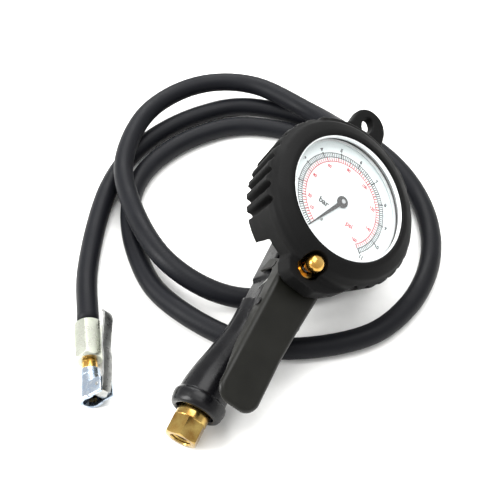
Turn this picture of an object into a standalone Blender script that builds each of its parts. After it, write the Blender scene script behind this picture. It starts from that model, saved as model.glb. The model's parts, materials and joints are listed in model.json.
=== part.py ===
"""Hand-held tyre inflator: squeeze lever, rubber-booted dial gauge, brass air inlet, deflate button,
and a 13 mm hose that ends in a clip-on chuck.

Sizes are millimetres, turned to metres as each mesh is made. Three frames carry the pieces:
the tool frame has its origin on the handle's foot, x to the right, y up the handle, z out of the
lever's face; the gauge frame sits at the dial window with z out of the dial; the chuck frame
starts at the hose's end with z towards the chuck's mouth and x towards its clip.
"""

import math

import bmesh
import bpy
from mathutils import Vector

MM = 0.001

# How the inflator lies on the bench.
TOOL_AT = (-53.3, -74.0, 14.9)
TOOL_TURN = (9.0, 37.5, -25.0)
DIAL_AT = (0.0, 129.0, 62.0)
DIAL_TILT = 5.0

# Handle and head.
FOOT_R = 15.5
GRIP_R = 10.0
GRIP_FLARE = 4.1
GRIP_OFFSET = 13.2
GRIP_TOP = 66.0
HEAD_HALF = 8.8
WAIST_HALF = 7.0
VALVE_Y = 56.0
GALLERY_Z = 18.4
OUTLET_Z = 16.0
OUTLET_Y = 116.0

# Lever.
PIVOT = (83.5, 31.0)
ROLLER = (56.0, 38.0)
LEVER_FACE = 44.3
LEVER_HALF = 10.9
LEVER_RIGHT = 13.1
LEVER_WALL = 1.4
LEVER_FLARE = 0.0196
LEVER_END = -2.4
LEVER_TOP = 79.3

# Gauge.
WINDOW_R = 36.5
CASE_R = 38.8
BEZEL_R = 39.8
BOOT_BORE = 40.1
BOOT_R = 47.8
BOOT_DEPTH = 36.2
RIB_PITCH = 10.0
RIB_FIRST = -57.0
RIB_LAST = 63.0
EYE_V = 64.5
EYE_R = 12.0
DIAL_W = -8.2
NEEDLE_REST = -26.3
NEEDLE_LENGTH = 29.5
PINION_R = 1.6
SECTOR_R = 16.0
SECTOR_AT = (-10.15, -14.6)
SOCKET_V = -22.0

# Deflate button, in the gauge frame.
DEFLATE_AT = (-1.5, -46.2)

# Hose and chuck.
HOSE_R = 6.5
HOSE_STEP = 26.0
FERRULE_END = 144.0
CHUCK_AT = (-120.0, -13.5, 8.8)
CHUCK_LIE = (91.5, 0.0, 8.4)
CHUCK_ROLL = 35.0
CHUCK_LENGTH = 52.8
CLIP_PIVOT = (9.3, 47.0)

HOSE_ROUTE = [
    (-120, -13.5, 8.8), (-125.5, 29, 7.2), (-120, 98, 7), (-108, 130, 7), (-88.5, 154.5, 7),
    (-60.5, 174, 7), (-28, 183, 7), (33.5, 163, 7), (66, 136, 7), (85, 103, 7), (92.5, 66.5, 7),
    (88, 32, 7), (71, 0.5, 7), (43, -21.5, 7), (-19.5, -28, 7), (-76.5, 7, 7), (-94, 37, 7),
    (-103, 75.5, 7), (-100.5, 105, 7), (-87, 130, 7), (-60, 152.5, 7), (-27.5, 162, 7), (38, 140, 6.8),
    (63, 102, 6.8), (60, 54, 6.8), (37, 25, 6.8), (-30, 6, 8.5), (-74.5, 25.5, 19), (-107, 94, 20.5),
    (-107, 130.5, 20.5), (-95, 164, 20.5), (-71.5, 186.5, 20.5), (-47, 194.5, 20.5), (-19, 190, 20.5),
    (17, 161.5, 21.5), (31, 142, 27.5), (38.5, 117, 40), (34.5, 94, 50), (25.4, 71.8, 53.7),
    (15, 49.4, 50),
]

FINISHES = {
    "black_casting": ((0.030, 0.032, 0.034), 0.0, 0.35),
    "lever_paint": ((0.035, 0.037, 0.030), 0.0, 0.40),
    "boot_rubber": ((0.018, 0.018, 0.018), 0.0, 0.65),
    "hose_rubber": ((0.025, 0.027, 0.032), 0.0, 0.60),
    "seal_rubber": ((0.010, 0.010, 0.010), 0.0, 0.70),
    "brass": ((0.60, 0.42, 0.14), 1.0, 0.30),
    "steel": ((0.55, 0.55, 0.53), 1.0, 0.35),
    "zinc_plate": ((0.52, 0.56, 0.60), 1.0, 0.30),
    "chrome": ((0.75, 0.75, 0.76), 1.0, 0.12),
    "case_steel": ((0.08, 0.08, 0.08), 1.0, 0.50),
    "dial_white": ((0.86, 0.90, 0.90), 0.0, 0.45),
    "needle_black": ((0.012, 0.012, 0.012), 0.0, 0.45),
    "window_clear": ((0.90, 0.95, 0.95), 0.0, 0.05),
    "bronze": ((0.45, 0.30, 0.14), 1.0, 0.50),
    "nylon": ((0.70, 0.68, 0.60), 0.0, 0.50),
}

ALONG_Y = (-90.0, 0.0, 0.0)
ALONG_X = (0.0, 90.0, 0.0)
SIDE_ON = (90.0, 0.0, 90.0)


def clear_scene():
    for obj in list(bpy.data.objects):
        bpy.data.objects.remove(obj)


def new_collection(name):
    made = bpy.data.collections.new(name)
    bpy.context.scene.collection.children.link(made)
    return made


def new_finish(name, colour, metallic, roughness):
    made = bpy.data.materials.new(name)
    made.use_nodes = True
    shader = made.node_tree.nodes["Principled BSDF"]
    shader.inputs["Base Color"].default_value = (*colour, 1.0)
    shader.inputs["Metallic"].default_value = metallic
    shader.inputs["Roughness"].default_value = roughness
    return made


def scaled(points):
    return [Vector(point) * MM for point in points]


def set_place(obj, parent, at, turn, order="XYZ"):
    obj.parent = parent
    obj.location = Vector(at) * MM
    obj.rotation_mode = order
    obj.rotation_euler = [math.radians(angle) for angle in turn]


def new_frame(name, parent, at, turn=(0, 0, 0), order="XYZ"):
    frame = bpy.data.objects.new(name, None)
    PARTS.objects.link(frame)
    set_place(frame, parent, at, turn, order)
    return frame


def add(name, data, parent, at=(0, 0, 0), turn=(0, 0, 0), finish=None):
    """A piece where a finish is named, otherwise a cutter or a shape to be joined."""
    obj = bpy.data.objects.new(name, data)
    set_place(obj, parent, at, turn)
    if finish:
        PARTS.objects.link(obj)
        data.materials.append(MATERIALS[finish])
    else:
        CUTTERS.objects.link(obj)
        obj.hide_render = True
        obj.display_type = "WIRE"
    return obj


def turned(name, profile, parent, at=(0, 0, 0), turn=(0, 0, 0), finish=None, ring=False, steps=28):
    """A profile of (radius, height) spun about z. A ring's profile closes on itself."""
    area = sum(a[0] * b[1] - b[0] * a[1] for a, b in zip(profile, [*profile[1:], profile[0]]))
    if area > 0:
        profile = profile[::-1]
    mesh = bpy.data.meshes.new(name)
    count = len(profile)
    edges = [(i, (i + 1) % count) for i in range(count if ring else count - 1)]
    mesh.from_pydata(scaled((r, 0, z) for r, z in profile), edges, [])
    obj = add(name, mesh, parent, at, turn, finish)
    screw = obj.modifiers.new("Spin", "SCREW")
    screw.steps = steps
    screw.render_steps = steps
    screw.use_merge_vertices = True
    screw.merge_threshold = 0.00001
    return obj


def solid_rod(radius, low, high):
    return [(0, high), (radius, high), (radius, low), (0, low)]


def tube_profile(outer, inner, low, high):
    return [(outer, high), (outer, low), (inner, low), (inner, high)]


def rod(name, radius, low, high, parent, at=(0, 0, 0), turn=(0, 0, 0), finish=None, sides=20):
    mesh = bpy.data.meshes.new(name)
    shape = bmesh.new()
    bmesh.ops.create_cone(
        shape, cap_ends=True, segments=sides, radius1=radius * MM, radius2=radius * MM, depth=(high - low) * MM
    )
    bmesh.ops.translate(shape, verts=shape.verts, vec=(0, 0, (high + low) / 2 * MM))
    shape.to_mesh(mesh)
    shape.free()
    return add(name, mesh, parent, at, turn, finish)


def hexagon(name, flats, low, high, parent, at=(0, 0, 0), turn=(0, 0, 0), finish=None):
    return rod(name, flats / math.sqrt(3), low, high, parent, at, turn, finish, sides=6)


def box(name, low, high, parent, at=(0, 0, 0), turn=(0, 0, 0), finish=None, bevel=0.0):
    mesh = bpy.data.meshes.new(name)
    shape = bmesh.new()
    bmesh.ops.create_cube(shape, size=1.0)
    size = Vector(high) - Vector(low)
    bmesh.ops.scale(shape, verts=shape.verts, vec=size * MM)
    bmesh.ops.translate(shape, verts=shape.verts, vec=(Vector(low) + size / 2) * MM)
    shape.to_mesh(mesh)
    shape.free()
    obj = add(name, mesh, parent, at, turn, finish)
    if bevel:
        rounding = obj.modifiers.new("Rounding", "BEVEL")
        rounding.width = bevel * MM
        rounding.segments = 2
    return obj


def mesh_from_curve(curve):
    """The curve's evaluated shape as one welded mesh."""
    holder = bpy.data.objects.new(curve.name, curve)
    CUTTERS.objects.link(holder)
    graph = bpy.context.evaluated_depsgraph_get()
    mesh = bpy.data.meshes.new_from_object(holder.evaluated_get(graph))
    bpy.data.objects.remove(holder)
    shape = bmesh.new()
    shape.from_mesh(mesh)
    bmesh.ops.remove_doubles(shape, verts=shape.verts, dist=0.000001)
    shape.to_mesh(mesh)
    shape.free()
    return mesh


def fill_spline(curve, points, closed=False, radii=None):
    spline = curve.splines.new("POLY")
    spline.points.add(len(points) - 1)
    spline.use_cyclic_u = closed
    for index, point in enumerate(points):
        spline.points[index].co = (*(Vector(point) * MM), 1.0)
        if radii:
            spline.points[index].radius = radii[index]


def prism(name, outline, low, high, parent, at=(0, 0, 0), turn=(0, 0, 0), finish=None):
    """A flat outline of (x, y), raised from low to high along z."""
    loops = [[(x, y, level) for x, y in outline] for level in (low, high)]
    return swept_loops(name, [loops], parent, at, turn, finish)


def wire(name, points, radius, parent, at=(0, 0, 0), turn=(0, 0, 0), finish=None, rounds=2):
    curve = bpy.data.curves.new(name, "CURVE")
    curve.dimensions = "3D"
    curve.bevel_depth = radius * MM
    curve.bevel_resolution = rounds
    curve.use_fill_caps = True
    fill_spline(curve, points)
    return add(name, curve, parent, at, turn, finish)


def cut(obj, *tools):
    for tool in tools:
        boolean(obj, tool, "DIFFERENCE")
    return obj


def join(obj, *shapes):
    for shape in shapes:
        boolean(obj, shape, "UNION")
    return obj


def boolean(obj, other, operation):
    step = obj.modifiers.new(other.name, "BOOLEAN")
    step.operation = operation
    step.object = other
    step.solver = "EXACT"


def arc(centre, radius, start, end, steps):
    """Points from start to end degrees, both included."""
    angles = [math.radians(start + (end - start) * i / steps) for i in range(steps + 1)]
    return [(centre[0] + radius * math.cos(a), centre[1] + radius * math.sin(a)) for a in angles]


def smooth_step(value):
    value = min(max(value, 0.0), 1.0)
    return value * value * (3.0 - 2.0 * value)


def helix(radius, low, high, turns, per_turn=12):
    count = int(turns * per_turn)
    points = []
    for i in range(count + 1):
        angle = 2 * math.pi * i / per_turn
        points.append((radius * math.cos(angle), radius * math.sin(angle), low + (high - low) * i / count))
    return points


def smooth_route(route, step):
    """Points an even step apart on one smooth curve through the route's points."""
    points = [Vector(point) for point in route]
    ends = [2 * points[0] - points[1], *points, 2 * points[-1] - points[-2]]
    dense = [points[0]]
    for before, start, end, after in zip(ends, ends[1:], ends[2:], ends[3:]):
        knots = [0.0]
        for a, b in ((before, start), (start, end), (end, after)):
            knots.append(knots[-1] + math.sqrt((b - a).length))
        for i in range(1, 41):
            dense.append(curve_between(before, start, end, after, knots, i / 40))
    length = sum((b - a).length for a, b in zip(dense, dense[1:]))
    count = round(length / step)
    spaced = [dense[0]]
    walked = 0.0
    for a, b in zip(dense, dense[1:]):
        walked += (b - a).length
        if walked >= length * len(spaced) / count and len(spaced) < count:
            spaced.append(b)
    return [*spaced, dense[-1]]


def curve_between(before, start, end, after, knots, share):
    """One point of the centripetal curve from start to end."""
    t0, t1, t2, t3 = knots
    t = t1 + (t2 - t1) * share
    a1 = before.lerp(start, (t - t0) / (t1 - t0))
    a2 = start.lerp(end, (t - t1) / (t2 - t1))
    a3 = end.lerp(after, (t - t2) / (t3 - t2))
    b1 = a1.lerp(a2, (t - t0) / (t2 - t0))
    b2 = a2.lerp(a3, (t - t1) / (t3 - t1))
    return b1.lerp(b2, (t - t1) / (t2 - t1))


def strip_outline(points, thickness):
    """A bent strip's outline: both sides of its centre line."""
    sides = ([], [])
    for i, point in enumerate(points):
        before = points[max(i - 1, 0)]
        after = points[min(i + 1, len(points) - 1)]
        along = Vector((after[0] - before[0], after[1] - before[1])).normalized()
        for side, sign in zip(sides, (1, -1)):
            side.append((point[0] - sign * along.y * thickness / 2, point[1] + sign * along.x * thickness / 2))
    return sides[0] + sides[1][::-1]


def swept_loops(name, rows, parent, at=(0, 0, 0), turn=(0, 0, 0), finish=None):
    """One or more closed bodies; each is a list of loops with equal counts, capped at both ends."""
    mesh = bpy.data.meshes.new(name)
    shape = bmesh.new()
    for loops in rows:
        made = [[shape.verts.new(Vector(point) * MM) for point in loop] for loop in loops]
        for low, high in zip(made, made[1:]):
            for i in range(len(low)):
                j = (i + 1) % len(low)
                shape.faces.new((low[i], low[j], high[j], high[i]))
        shape.faces.new(made[0][::-1])
        shape.faces.new(made[-1])
    bmesh.ops.recalc_face_normals(shape, faces=shape.faces)
    shape.to_mesh(mesh)
    shape.free()
    return add(name, mesh, parent, at, turn, finish)


def bevel(obj, width, segments=2, angle=35):
    step = obj.modifiers.new("Rounding", "BEVEL")
    step.width = width * MM
    step.segments = segments
    step.limit_method = "ANGLE"
    step.angle_limit = math.radians(angle)
    return obj


def build_handle():
    """The casting: foot, flared grip, head, and the bosses that the other pieces screw into."""
    rows = [(y, GRIP_OFFSET * smooth_step((y - 8) / 48)) for y in range(5, int(GRIP_TOP) + 1, 4)]
    radii = [GRIP_R + GRIP_FLARE * (1 - smooth_step((y - 4) / 44)) for y, _ in rows]
    curve = bpy.data.curves.new("handle_body", "CURVE")
    curve.dimensions = "3D"
    curve.bevel_depth = MM
    curve.bevel_resolution = 7
    curve.use_fill_caps = True
    fill_spline(curve, [(0, y, z) for y, z in rows], radii=radii)
    body = add("handle_body", mesh_from_curve(curve), TOOL, finish="black_casting")
    foot = [(0, 9), (13.7, 9), (13.7, 7.4), (13.3, 6.7), (15.0, 5.8), (FOOT_R, 4.4), (FOOT_R, 2.6)]
    foot += [(15.0, -0.4), (14.2, -2.2), (12.8, -3.0), (11.4, -2.8), (10.9, -2.0), (10.8, 1.0), (0, 1.0)]
    join(
        body,
        turned("foot_shape", foot, TOOL, turn=ALONG_Y, steps=40),
        box("waist_shape", (-WAIST_HALF, 58, 5.2), (WAIST_HALF, 82, 25), TOOL, bevel=2.0),
        box("head_shape", (-HEAD_HALF, 78, 6.6), (HEAD_HALF, 112, 25.8), TOOL, bevel=2.0),
        box("pivot_lug", (-5.9, 79.2, 22), (HEAD_HALF, 87.4, 35.1), TOOL, bevel=1.0),
        rod("valve_boss", 7.2, 14, 26.5, TOOL, (0, VALVE_Y, 0)),
        rod("outlet_boss", 8.7, 98, OUTLET_Y, TOOL, (0, 0, OUTLET_Z), ALONG_Y),
        rod("gauge_boss", 8.3, -44, -33.8, GAUGE, (0, SOCKET_V, 0)),
        rod("deflate_boss", 5.1, -38, -19.3, GAUGE, (*DEFLATE_AT, 0)),
    )
    chamber = [(0, 29), (4.9, 29), (4.9, 17.9), (3.0, 17.9), (3.0, 15.9), (5.6, 15.9), (5.6, 1), (0, 1)]
    inlet = [(0, 24), (3.2, 24), (3.2, 15), (8.4, 15), (8.4, -1), (0, -1)]
    gauge_port = [(0, -33), (6.6, -33), (6.6, -41.5), (1.8, -41.5), (1.8, -46.4), (0, -46.4)]
    deflate_port = [(0, -15), (3.4, -15), (3.4, -30.2), (1.2, -30.2), (1.2, -47.3), (0, -47.3)]
    cut(
        body,
        turned("inlet_bore", inlet, TOOL, turn=ALONG_Y),
        turned("valve_chamber", chamber, TOOL, (0, VALVE_Y, 0)),
        rod("supply_passage", 2.4, 0, 36, TOOL, (0, 19, 1.5), (-76, 0, 0), sides=12),
        rod("gallery", 1.7, VALVE_Y + 1, OUTLET_Y - 6, TOOL, (0, 0, GALLERY_Z), ALONG_Y, sides=12),
        rod("outlet_port", 5.9, OUTLET_Y - 11, OUTLET_Y + 1, TOOL, (0, 0, OUTLET_Z), ALONG_Y),
        turned("gauge_port", gauge_port, GAUGE, (0, SOCKET_V, 0), steps=24),
        turned("deflate_port", deflate_port, GAUGE, (*DEFLATE_AT, 0), steps=20),
        rod("left_pivot_bore", 2.23, -12, -3.0, TOOL, (0, *PIVOT), ALONG_X),
        rod("right_pivot_bore", 2.23, 4.8, 12, TOOL, (0, *PIVOT), ALONG_X),
    )


def build_inlet():
    shell = [(9.3, -0.7), (9.3, -7.8), (8.6, -8.4), (4.0, -8.4), (4.0, 14.2), (7.6, 14.2), (8.1, 13.6), (8.1, -0.7)]
    fitting = turned("inlet_fitting", shell, TOOL, turn=ALONG_Y, finish="brass", ring=True)
    collar = hexagon("inlet_hex", 17.2, -19.2, -8.0, TOOL, turn=ALONG_Y)
    corners = turned("hex_corners", [(0, -19.3), (8.6, -19.3), (9.95, -18.4), (9.95, -7.8), (0, -7.8)], TOOL,
                     turn=ALONG_Y)
    boolean(collar, corners, "INTERSECT")
    join(fitting, collar)
    thread = [(0, 0), (4.0, 0), (4.0, -7.0), (5.8, -8.2), (5.8, -18.4), (6.6, -20), (0, -20)]
    cut(fitting, turned("inlet_thread", thread, TOOL, turn=ALONG_Y))
    seal = tube_profile(9.2, 8.45, -0.4, 0.7)
    turned("inlet_seal", seal, TOOL, turn=ALONG_Y, finish="seal_rubber", ring=True)
    cone = [(0, 10), (2.3, 9), (2.9, -5.0), (3.7, -5.2), (3.7, -6.4), (2.2, -6.4), (1.5, 8.0), (0, 8.4)]
    turned("inlet_filter", cone, TOOL, turn=ALONG_Y, finish="bronze", steps=20)


def build_valve():
    """The air valve under the lever; the roller presses its stem down the handle's thickness."""
    at = (0, VALVE_Y, 0)
    bush = turned("valve_bush", tube_profile(4.7, 1.75, 18.3, 28.4), TOOL, at, finish="brass", ring=True, steps=24)
    join(bush, cut(hexagon("bush_hex", 12, 27.8, 29.7, TOOL, at), rod("bush_bore", 1.75, 27, 31, TOOL, at)))
    turned("bush_seal", tube_profile(6.0, 5.0, 26.75, 27.5), TOOL, at, finish="seal_rubber", ring=True, steps=24)
    stem = [(0, 34.6), (1.8, 34.6), (2.4, 34.2), (2.4, 33.9), (1.5, 33.4), (1.5, 15.4), (2.4, 15.4), (2.4, 14.9)]
    stem += [(4.2, 14.9), (4.2, 12.9), (1.4, 12.9), (1.4, 11.4), (0, 11.4)]
    turned("valve_stem", stem, TOOL, at, finish="steel", steps=24)
    turned("valve_seal", tube_profile(4.2, 2.7, 15.1, 15.7), TOOL, at, finish="seal_rubber", ring=True, steps=24)
    coil = helix(3.1, 6.75, 12.4, 3, 10)
    wire("valve_spring", coil, 0.4, TOOL, at, finish="steel", rounds=1)
    plug = rod("valve_plug", 5.3, 3.4, 6.1, TOOL, at, finish="brass")
    cut(plug, hexagon("plug_socket", 5, 2, 4.9, TOOL, at))


def lever_left(y):
    return LEVER_HALF - 0.2 + (LEVER_TOP - y) * LEVER_FLARE


def lever_plan(inset):
    """The outline from the lever's face: rounded free end, and a right side that swings out under the dial."""
    radius = 9.0 - inset
    low = LEVER_END + inset
    left, right = lever_left(low) - inset, LEVER_RIGHT - inset
    start = [(-x, y) for x, y in arc((left - radius, low + radius), radius, 0, -90, 6)]
    end = arc((right - radius, low + radius), radius, -90, 0, 6)
    swing = [(LEVER_RIGHT + out - inset, y) for y, out in ((33, 0.3), (54, 2.0), (74, 4.2), (93, 4.4))]
    return [(-lever_left(93.0) + inset, 93.0), *start, *end, *swing]


def build_lever():
    side = [(-4, 47), (77.9, 47), (79.4, 44.2), (82.6, 42.6), (84.6, 40.6), (85.4, 38.6), (88.9, 26), (89.7, 22.8)]
    side += [(88.8, 20.8), (83.9, 17.4), (82.2, 17.3), (81.6, 18.6), (81.5, 28.5), (80.4, 31.6), (77.8, 33.3)]
    side += [(66.5, 33.4), (63, 34.3), (60.4, 34.1), (56, 33.5), (51.6, 34.1), (47, 35.0), (30, 35.9), (22, 38.6)]
    side += [(12, 42.0), (-4, 42.0)]
    back = (0, -PIVOT[0], -PIVOT[1])
    lever = bevel(prism("lever", lever_plan(0), 5, LEVER_FACE, LEVER, back, finish="lever_paint"), 2.6, 3)
    boolean(lever, prism("lever_side", side, -20, 20, LEVER, back, SIDE_ON), "INTERSECT")
    notch = [(-8.0, 82), *arc((DEFLATE_AT[0], 81.0), 6.5, 180, 360, 8), (5.0, 82)]
    cut(
        lever,
        bevel(prism("lever_inside", lever_plan(LEVER_WALL), 2, LEVER_FACE - LEVER_WALL, LEVER, back), 1.6, 2),
        prism("lever_notch", notch, 40, 48, LEVER, back),
        rod("lever_pivot_bore", 2.28, -20, 20, LEVER, (0, 0, 0), ALONG_X),
        rod("lever_roller_bore", 1.52, -20, 20, LEVER, roller_place(), ALONG_X, sides=16),
    )
    pin = [(0, 16.4), (2.1, 16.4), (2.5, 16.0), (2.5, 15.75), (1.5, 15.75), (1.5, -11.65), (2.5, -11.65)]
    pin += [(2.5, -11.9), (2.1, -12.3), (0, -12.3)]
    turned("roller_pin", pin, LEVER, roller_place(), ALONG_X, "steel", steps=16)
    turned("lever_roller", tube_profile(3.2, 1.6, -4, 4), LEVER, roller_place(), ALONG_X, "steel", ring=True)
    rod("pivot_pin_left", 2.2, -10.85, -3.3, TOOL, (0, *PIVOT), ALONG_X, "lever_paint")
    rod("pivot_pin_right", 2.2, 5.1, 17.3, TOOL, (0, *PIVOT), ALONG_X, "lever_paint")
    coil = [(x, PIVOT[0] + y, PIVOT[1] + z) for z, y, x in helix(3.4, -6.6, -8.6, 2, 16)]
    leg_down = [(-7.8, 71.0, 20.4), (-7.6, 78.6, 29.5)]
    leg_front = (-8.3, 70.0, 41.6)
    wire("lever_spring", [*leg_down, *coil[12:], leg_front], 0.45, TOOL, finish="steel", rounds=1)


def roller_place():
    return (0, ROLLER[0] - PIVOT[0], ROLLER[1] - PIVOT[1])


def build_deflate():
    at = (*DEFLATE_AT, 0)
    gland = turned("deflate_gland", tube_profile(3.2, 1.4, -26, -18.6), GAUGE, at, finish="brass", ring=True, steps=20)
    nut = hexagon("gland_hex", 12, -18.9, -13.6, GAUGE, at, (0, 0, 30))
    dome = turned("gland_corners", [(0, -13.4), (5.9, -13.4), (6.95, -14.3), (6.95, -20), (0, -20)], GAUGE, at)
    boolean(nut, dome, "INTERSECT")
    join(gland, nut)
    well = [(0, -12), (3.4, -12), (3.4, -17.4), (1.4, -17.4), (1.4, -20), (0, -20)]
    cut(gland, turned("gland_well", well, GAUGE, at, steps=20))
    cap = [(0, -0.8), (2.1, -1.0), (3.8, -1.7), (4.75, -2.8), (5.0, -4.0), (5.0, -7.0), (4.6, -8.2), (3.4, -9.8)]
    cap += [(3.2, -10.8), (1.0, -10.8)]
    cap += [(1.0, -26.4), (1.9, -26.4), (1.9, -26.9), (2.6, -26.9), (2.6, -27.6), (0, -27.6)]
    turned("deflate_button", cap, BUTTON, finish="brass", steps=28)
    coil = helix(2.3, -17.0, -11.3, 4, 8)
    wire("deflate_spring", coil, 0.3, GAUGE, at, finish="steel", rounds=1)


def build_boot():
    """Rubber boot: lip over the bezel, ribbed sides, crown with the hanging eye, and the chin's recess."""
    shell = [(36.5, 0.3), (37.2, 0.8), (40.4, 0.4), (43.6, -0.9), (46.4, -2.3), (BOOT_R, -4.2), (49.6, -6.0), (50.2, -9)]
    shell += [(45.6, -BOOT_DEPTH), (38.0, -BOOT_DEPTH), (35.5, -32.4), (35.5, -29.5), (BOOT_BORE, -29.5)]
    shell += [(BOOT_BORE, -2.0), (36.5, -2.0)]
    boot = turned("gauge_boot", shell, GAUGE, finish="boot_rubber", ring=True, steps=56)
    crown = [*arc((0, 0), 50.6, 134, 46, 14), *arc((0, 0), 44.5, 46, 134, 14)]
    tab = [(-27, 41.5), (-24, 45.5), (-19.5, 50.5), (-15.2, 55.2), (-12.8, 59.5)]
    tab += arc((0, EYE_V), EYE_R, 170, 10, 14)
    tab += [(12.8, 59.5), (15.2, 55.2), (19.5, 50.5), (24, 45.5), (27, 41.5)]
    chin = [(-16, -38), (-14.8, -50.5), (-12.2, -55.4), (-7, -57.6), (7.5, -57.6), (14.5, -54), (22, -47.6)]
    chin += [(29.5, -38), *arc((0, 0), 41.5, -54, -112, 8)]
    join(
        boot,
        bevel(prism("crown_shape", crown, -27, -4.2, GAUGE), 2.2),
        bevel(prism("tab_shape", tab, -20.2, -13.8, GAUGE), 1.6),
    )
    grooves = [groove_loops(RIB_FIRST + RIB_PITCH * index) for index in range(13)]
    grooves += [groove_loops(180 - RIB_LAST + RIB_PITCH * index) for index in range(11)]
    hole = [(3.9 * math.cos(a) - 1.6, EYE_V - 0.5 + 6.3 * math.sin(a)) for a in [math.tau * i / 24 for i in range(24)]]
    slot = [(-24.6, -26), (-24.8, -60), (24.4, -60), (24.2, -26)]
    cut(boot, swept_loops("rib_grooves", grooves, GAUGE))
    join(boot, bevel(prism("chin_shape", chin, -20.8, -7.6, GAUGE), 1.5))
    cut(
        boot,
        prism("eye_hole", hole, -30, 0, GAUGE),
        prism("neck_slot", slot, -40, -20.8, GAUGE),
        rod("gland_recess", 7.7, -24, -9.4, GAUGE, (*DEFLATE_AT, 0), sides=32),
        rod("button_recess", 7.0, -9.9, 4, GAUGE, (-2.0, -47.8, 0), sides=32),
    )


def groove_loops(angle):
    """A groove that fades in behind the boot's lip and runs out at its rear edge."""
    away = Vector((math.cos(math.radians(angle)), math.sin(math.radians(angle)), 0))
    side = Vector((-away.y, away.x, 0))
    section = [(14, 5.4), (3.8, 2.2), (1.4, 1.4), (0.4, 0.8), (0, 0), (0.4, -0.8), (1.4, -1.4), (3.8, -2.2), (14, -5.4)]
    loops = []
    for w, depth in ((-4.9, 50.6), (-7.5, 45.8), (-11.0, 43.9), (-38.0, 42.2)):
        loops.append([away * (depth + up) + side * across + Vector((0, 0, w)) for up, across in section])
    return loops


def build_gauge():
    """Case, window stack and dial, then the Bourdon movement behind the dial."""
    case = [(38.6, -6.1), (38.6, -29.0), (0, -29.0), (0, -28.2), (37.8, -28.2), (37.8, -6.1)]
    case = turned("gauge_case", case, GAUGE, finish="case_steel", ring=True, steps=40)
    cut(case, rod("case_hole", 7.4, -31, -26, GAUGE, (0, SOCKET_V, 0)))
    bezel = [(BEZEL_R, -2.3), (BEZEL_R, -9.0), (39.0, -9.0), (39.0, -3.0), (37.2, -3.0), (37.2, -2.3)]
    turned("bezel_ring", bezel, GAUGE, finish="case_steel", ring=True, steps=40)
    seal = tube_profile(38.6, 37.3, -3.9, -3.3)
    turned("window_seal", seal, GAUGE, finish="seal_rubber", ring=True, steps=40)
    turned("gauge_window", solid_rod(38.6, -5.8, -4.2), GAUGE, finish="window_clear", steps=40)
    spacer = [(37.5, -6.1), (37.5, -7.9), (37.1, -7.9), (36.0, -6.1)]
    turned("spacer_ring", spacer, GAUGE, finish="chrome", ring=True, steps=40)
    turned("dial_plate", tube_profile(37.4, 1.6, -8.9, DIAL_W), GAUGE, finish="dial_white", ring=True, steps=40)
    stop = math.radians(NEEDLE_REST - 90 + 5)
    rod("dial_stop_pin", 0.6, DIAL_W - 0.4, -6.9, GAUGE, (20 * math.cos(stop), 20 * math.sin(stop), 0),
        finish="steel", sides=12)
    cut(bpy.data.objects["dial_plate"], rod("stop_hole", 0.62, -9.5, -8, GAUGE,
        (20 * math.cos(stop), 20 * math.sin(stop), 0), sides=12))
    blade = [(-1.1, 2.0), (-1.25, -4), (-0.22, -NEEDLE_LENGTH), (0.22, -NEEDLE_LENGTH), (1.25, -4), (1.1, 2.0)]
    needle = prism("needle", blade, -7.5, -7.1, NEEDLE, turn=(0, 0, NEEDLE_REST), finish="needle_black")
    hub = [(0, -6.4), (2.6, -6.4), (3.5, -6.9), (3.6, -7.7), (0, -7.7)]
    join(needle, turned("needle_hub", hub, NEEDLE, turn=(0, 0, NEEDLE_REST), steps=24))
    cut(needle, rod("hub_bore", 0.62, -8, -7.0, NEEDLE, sides=12))
    build_movement()


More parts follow.
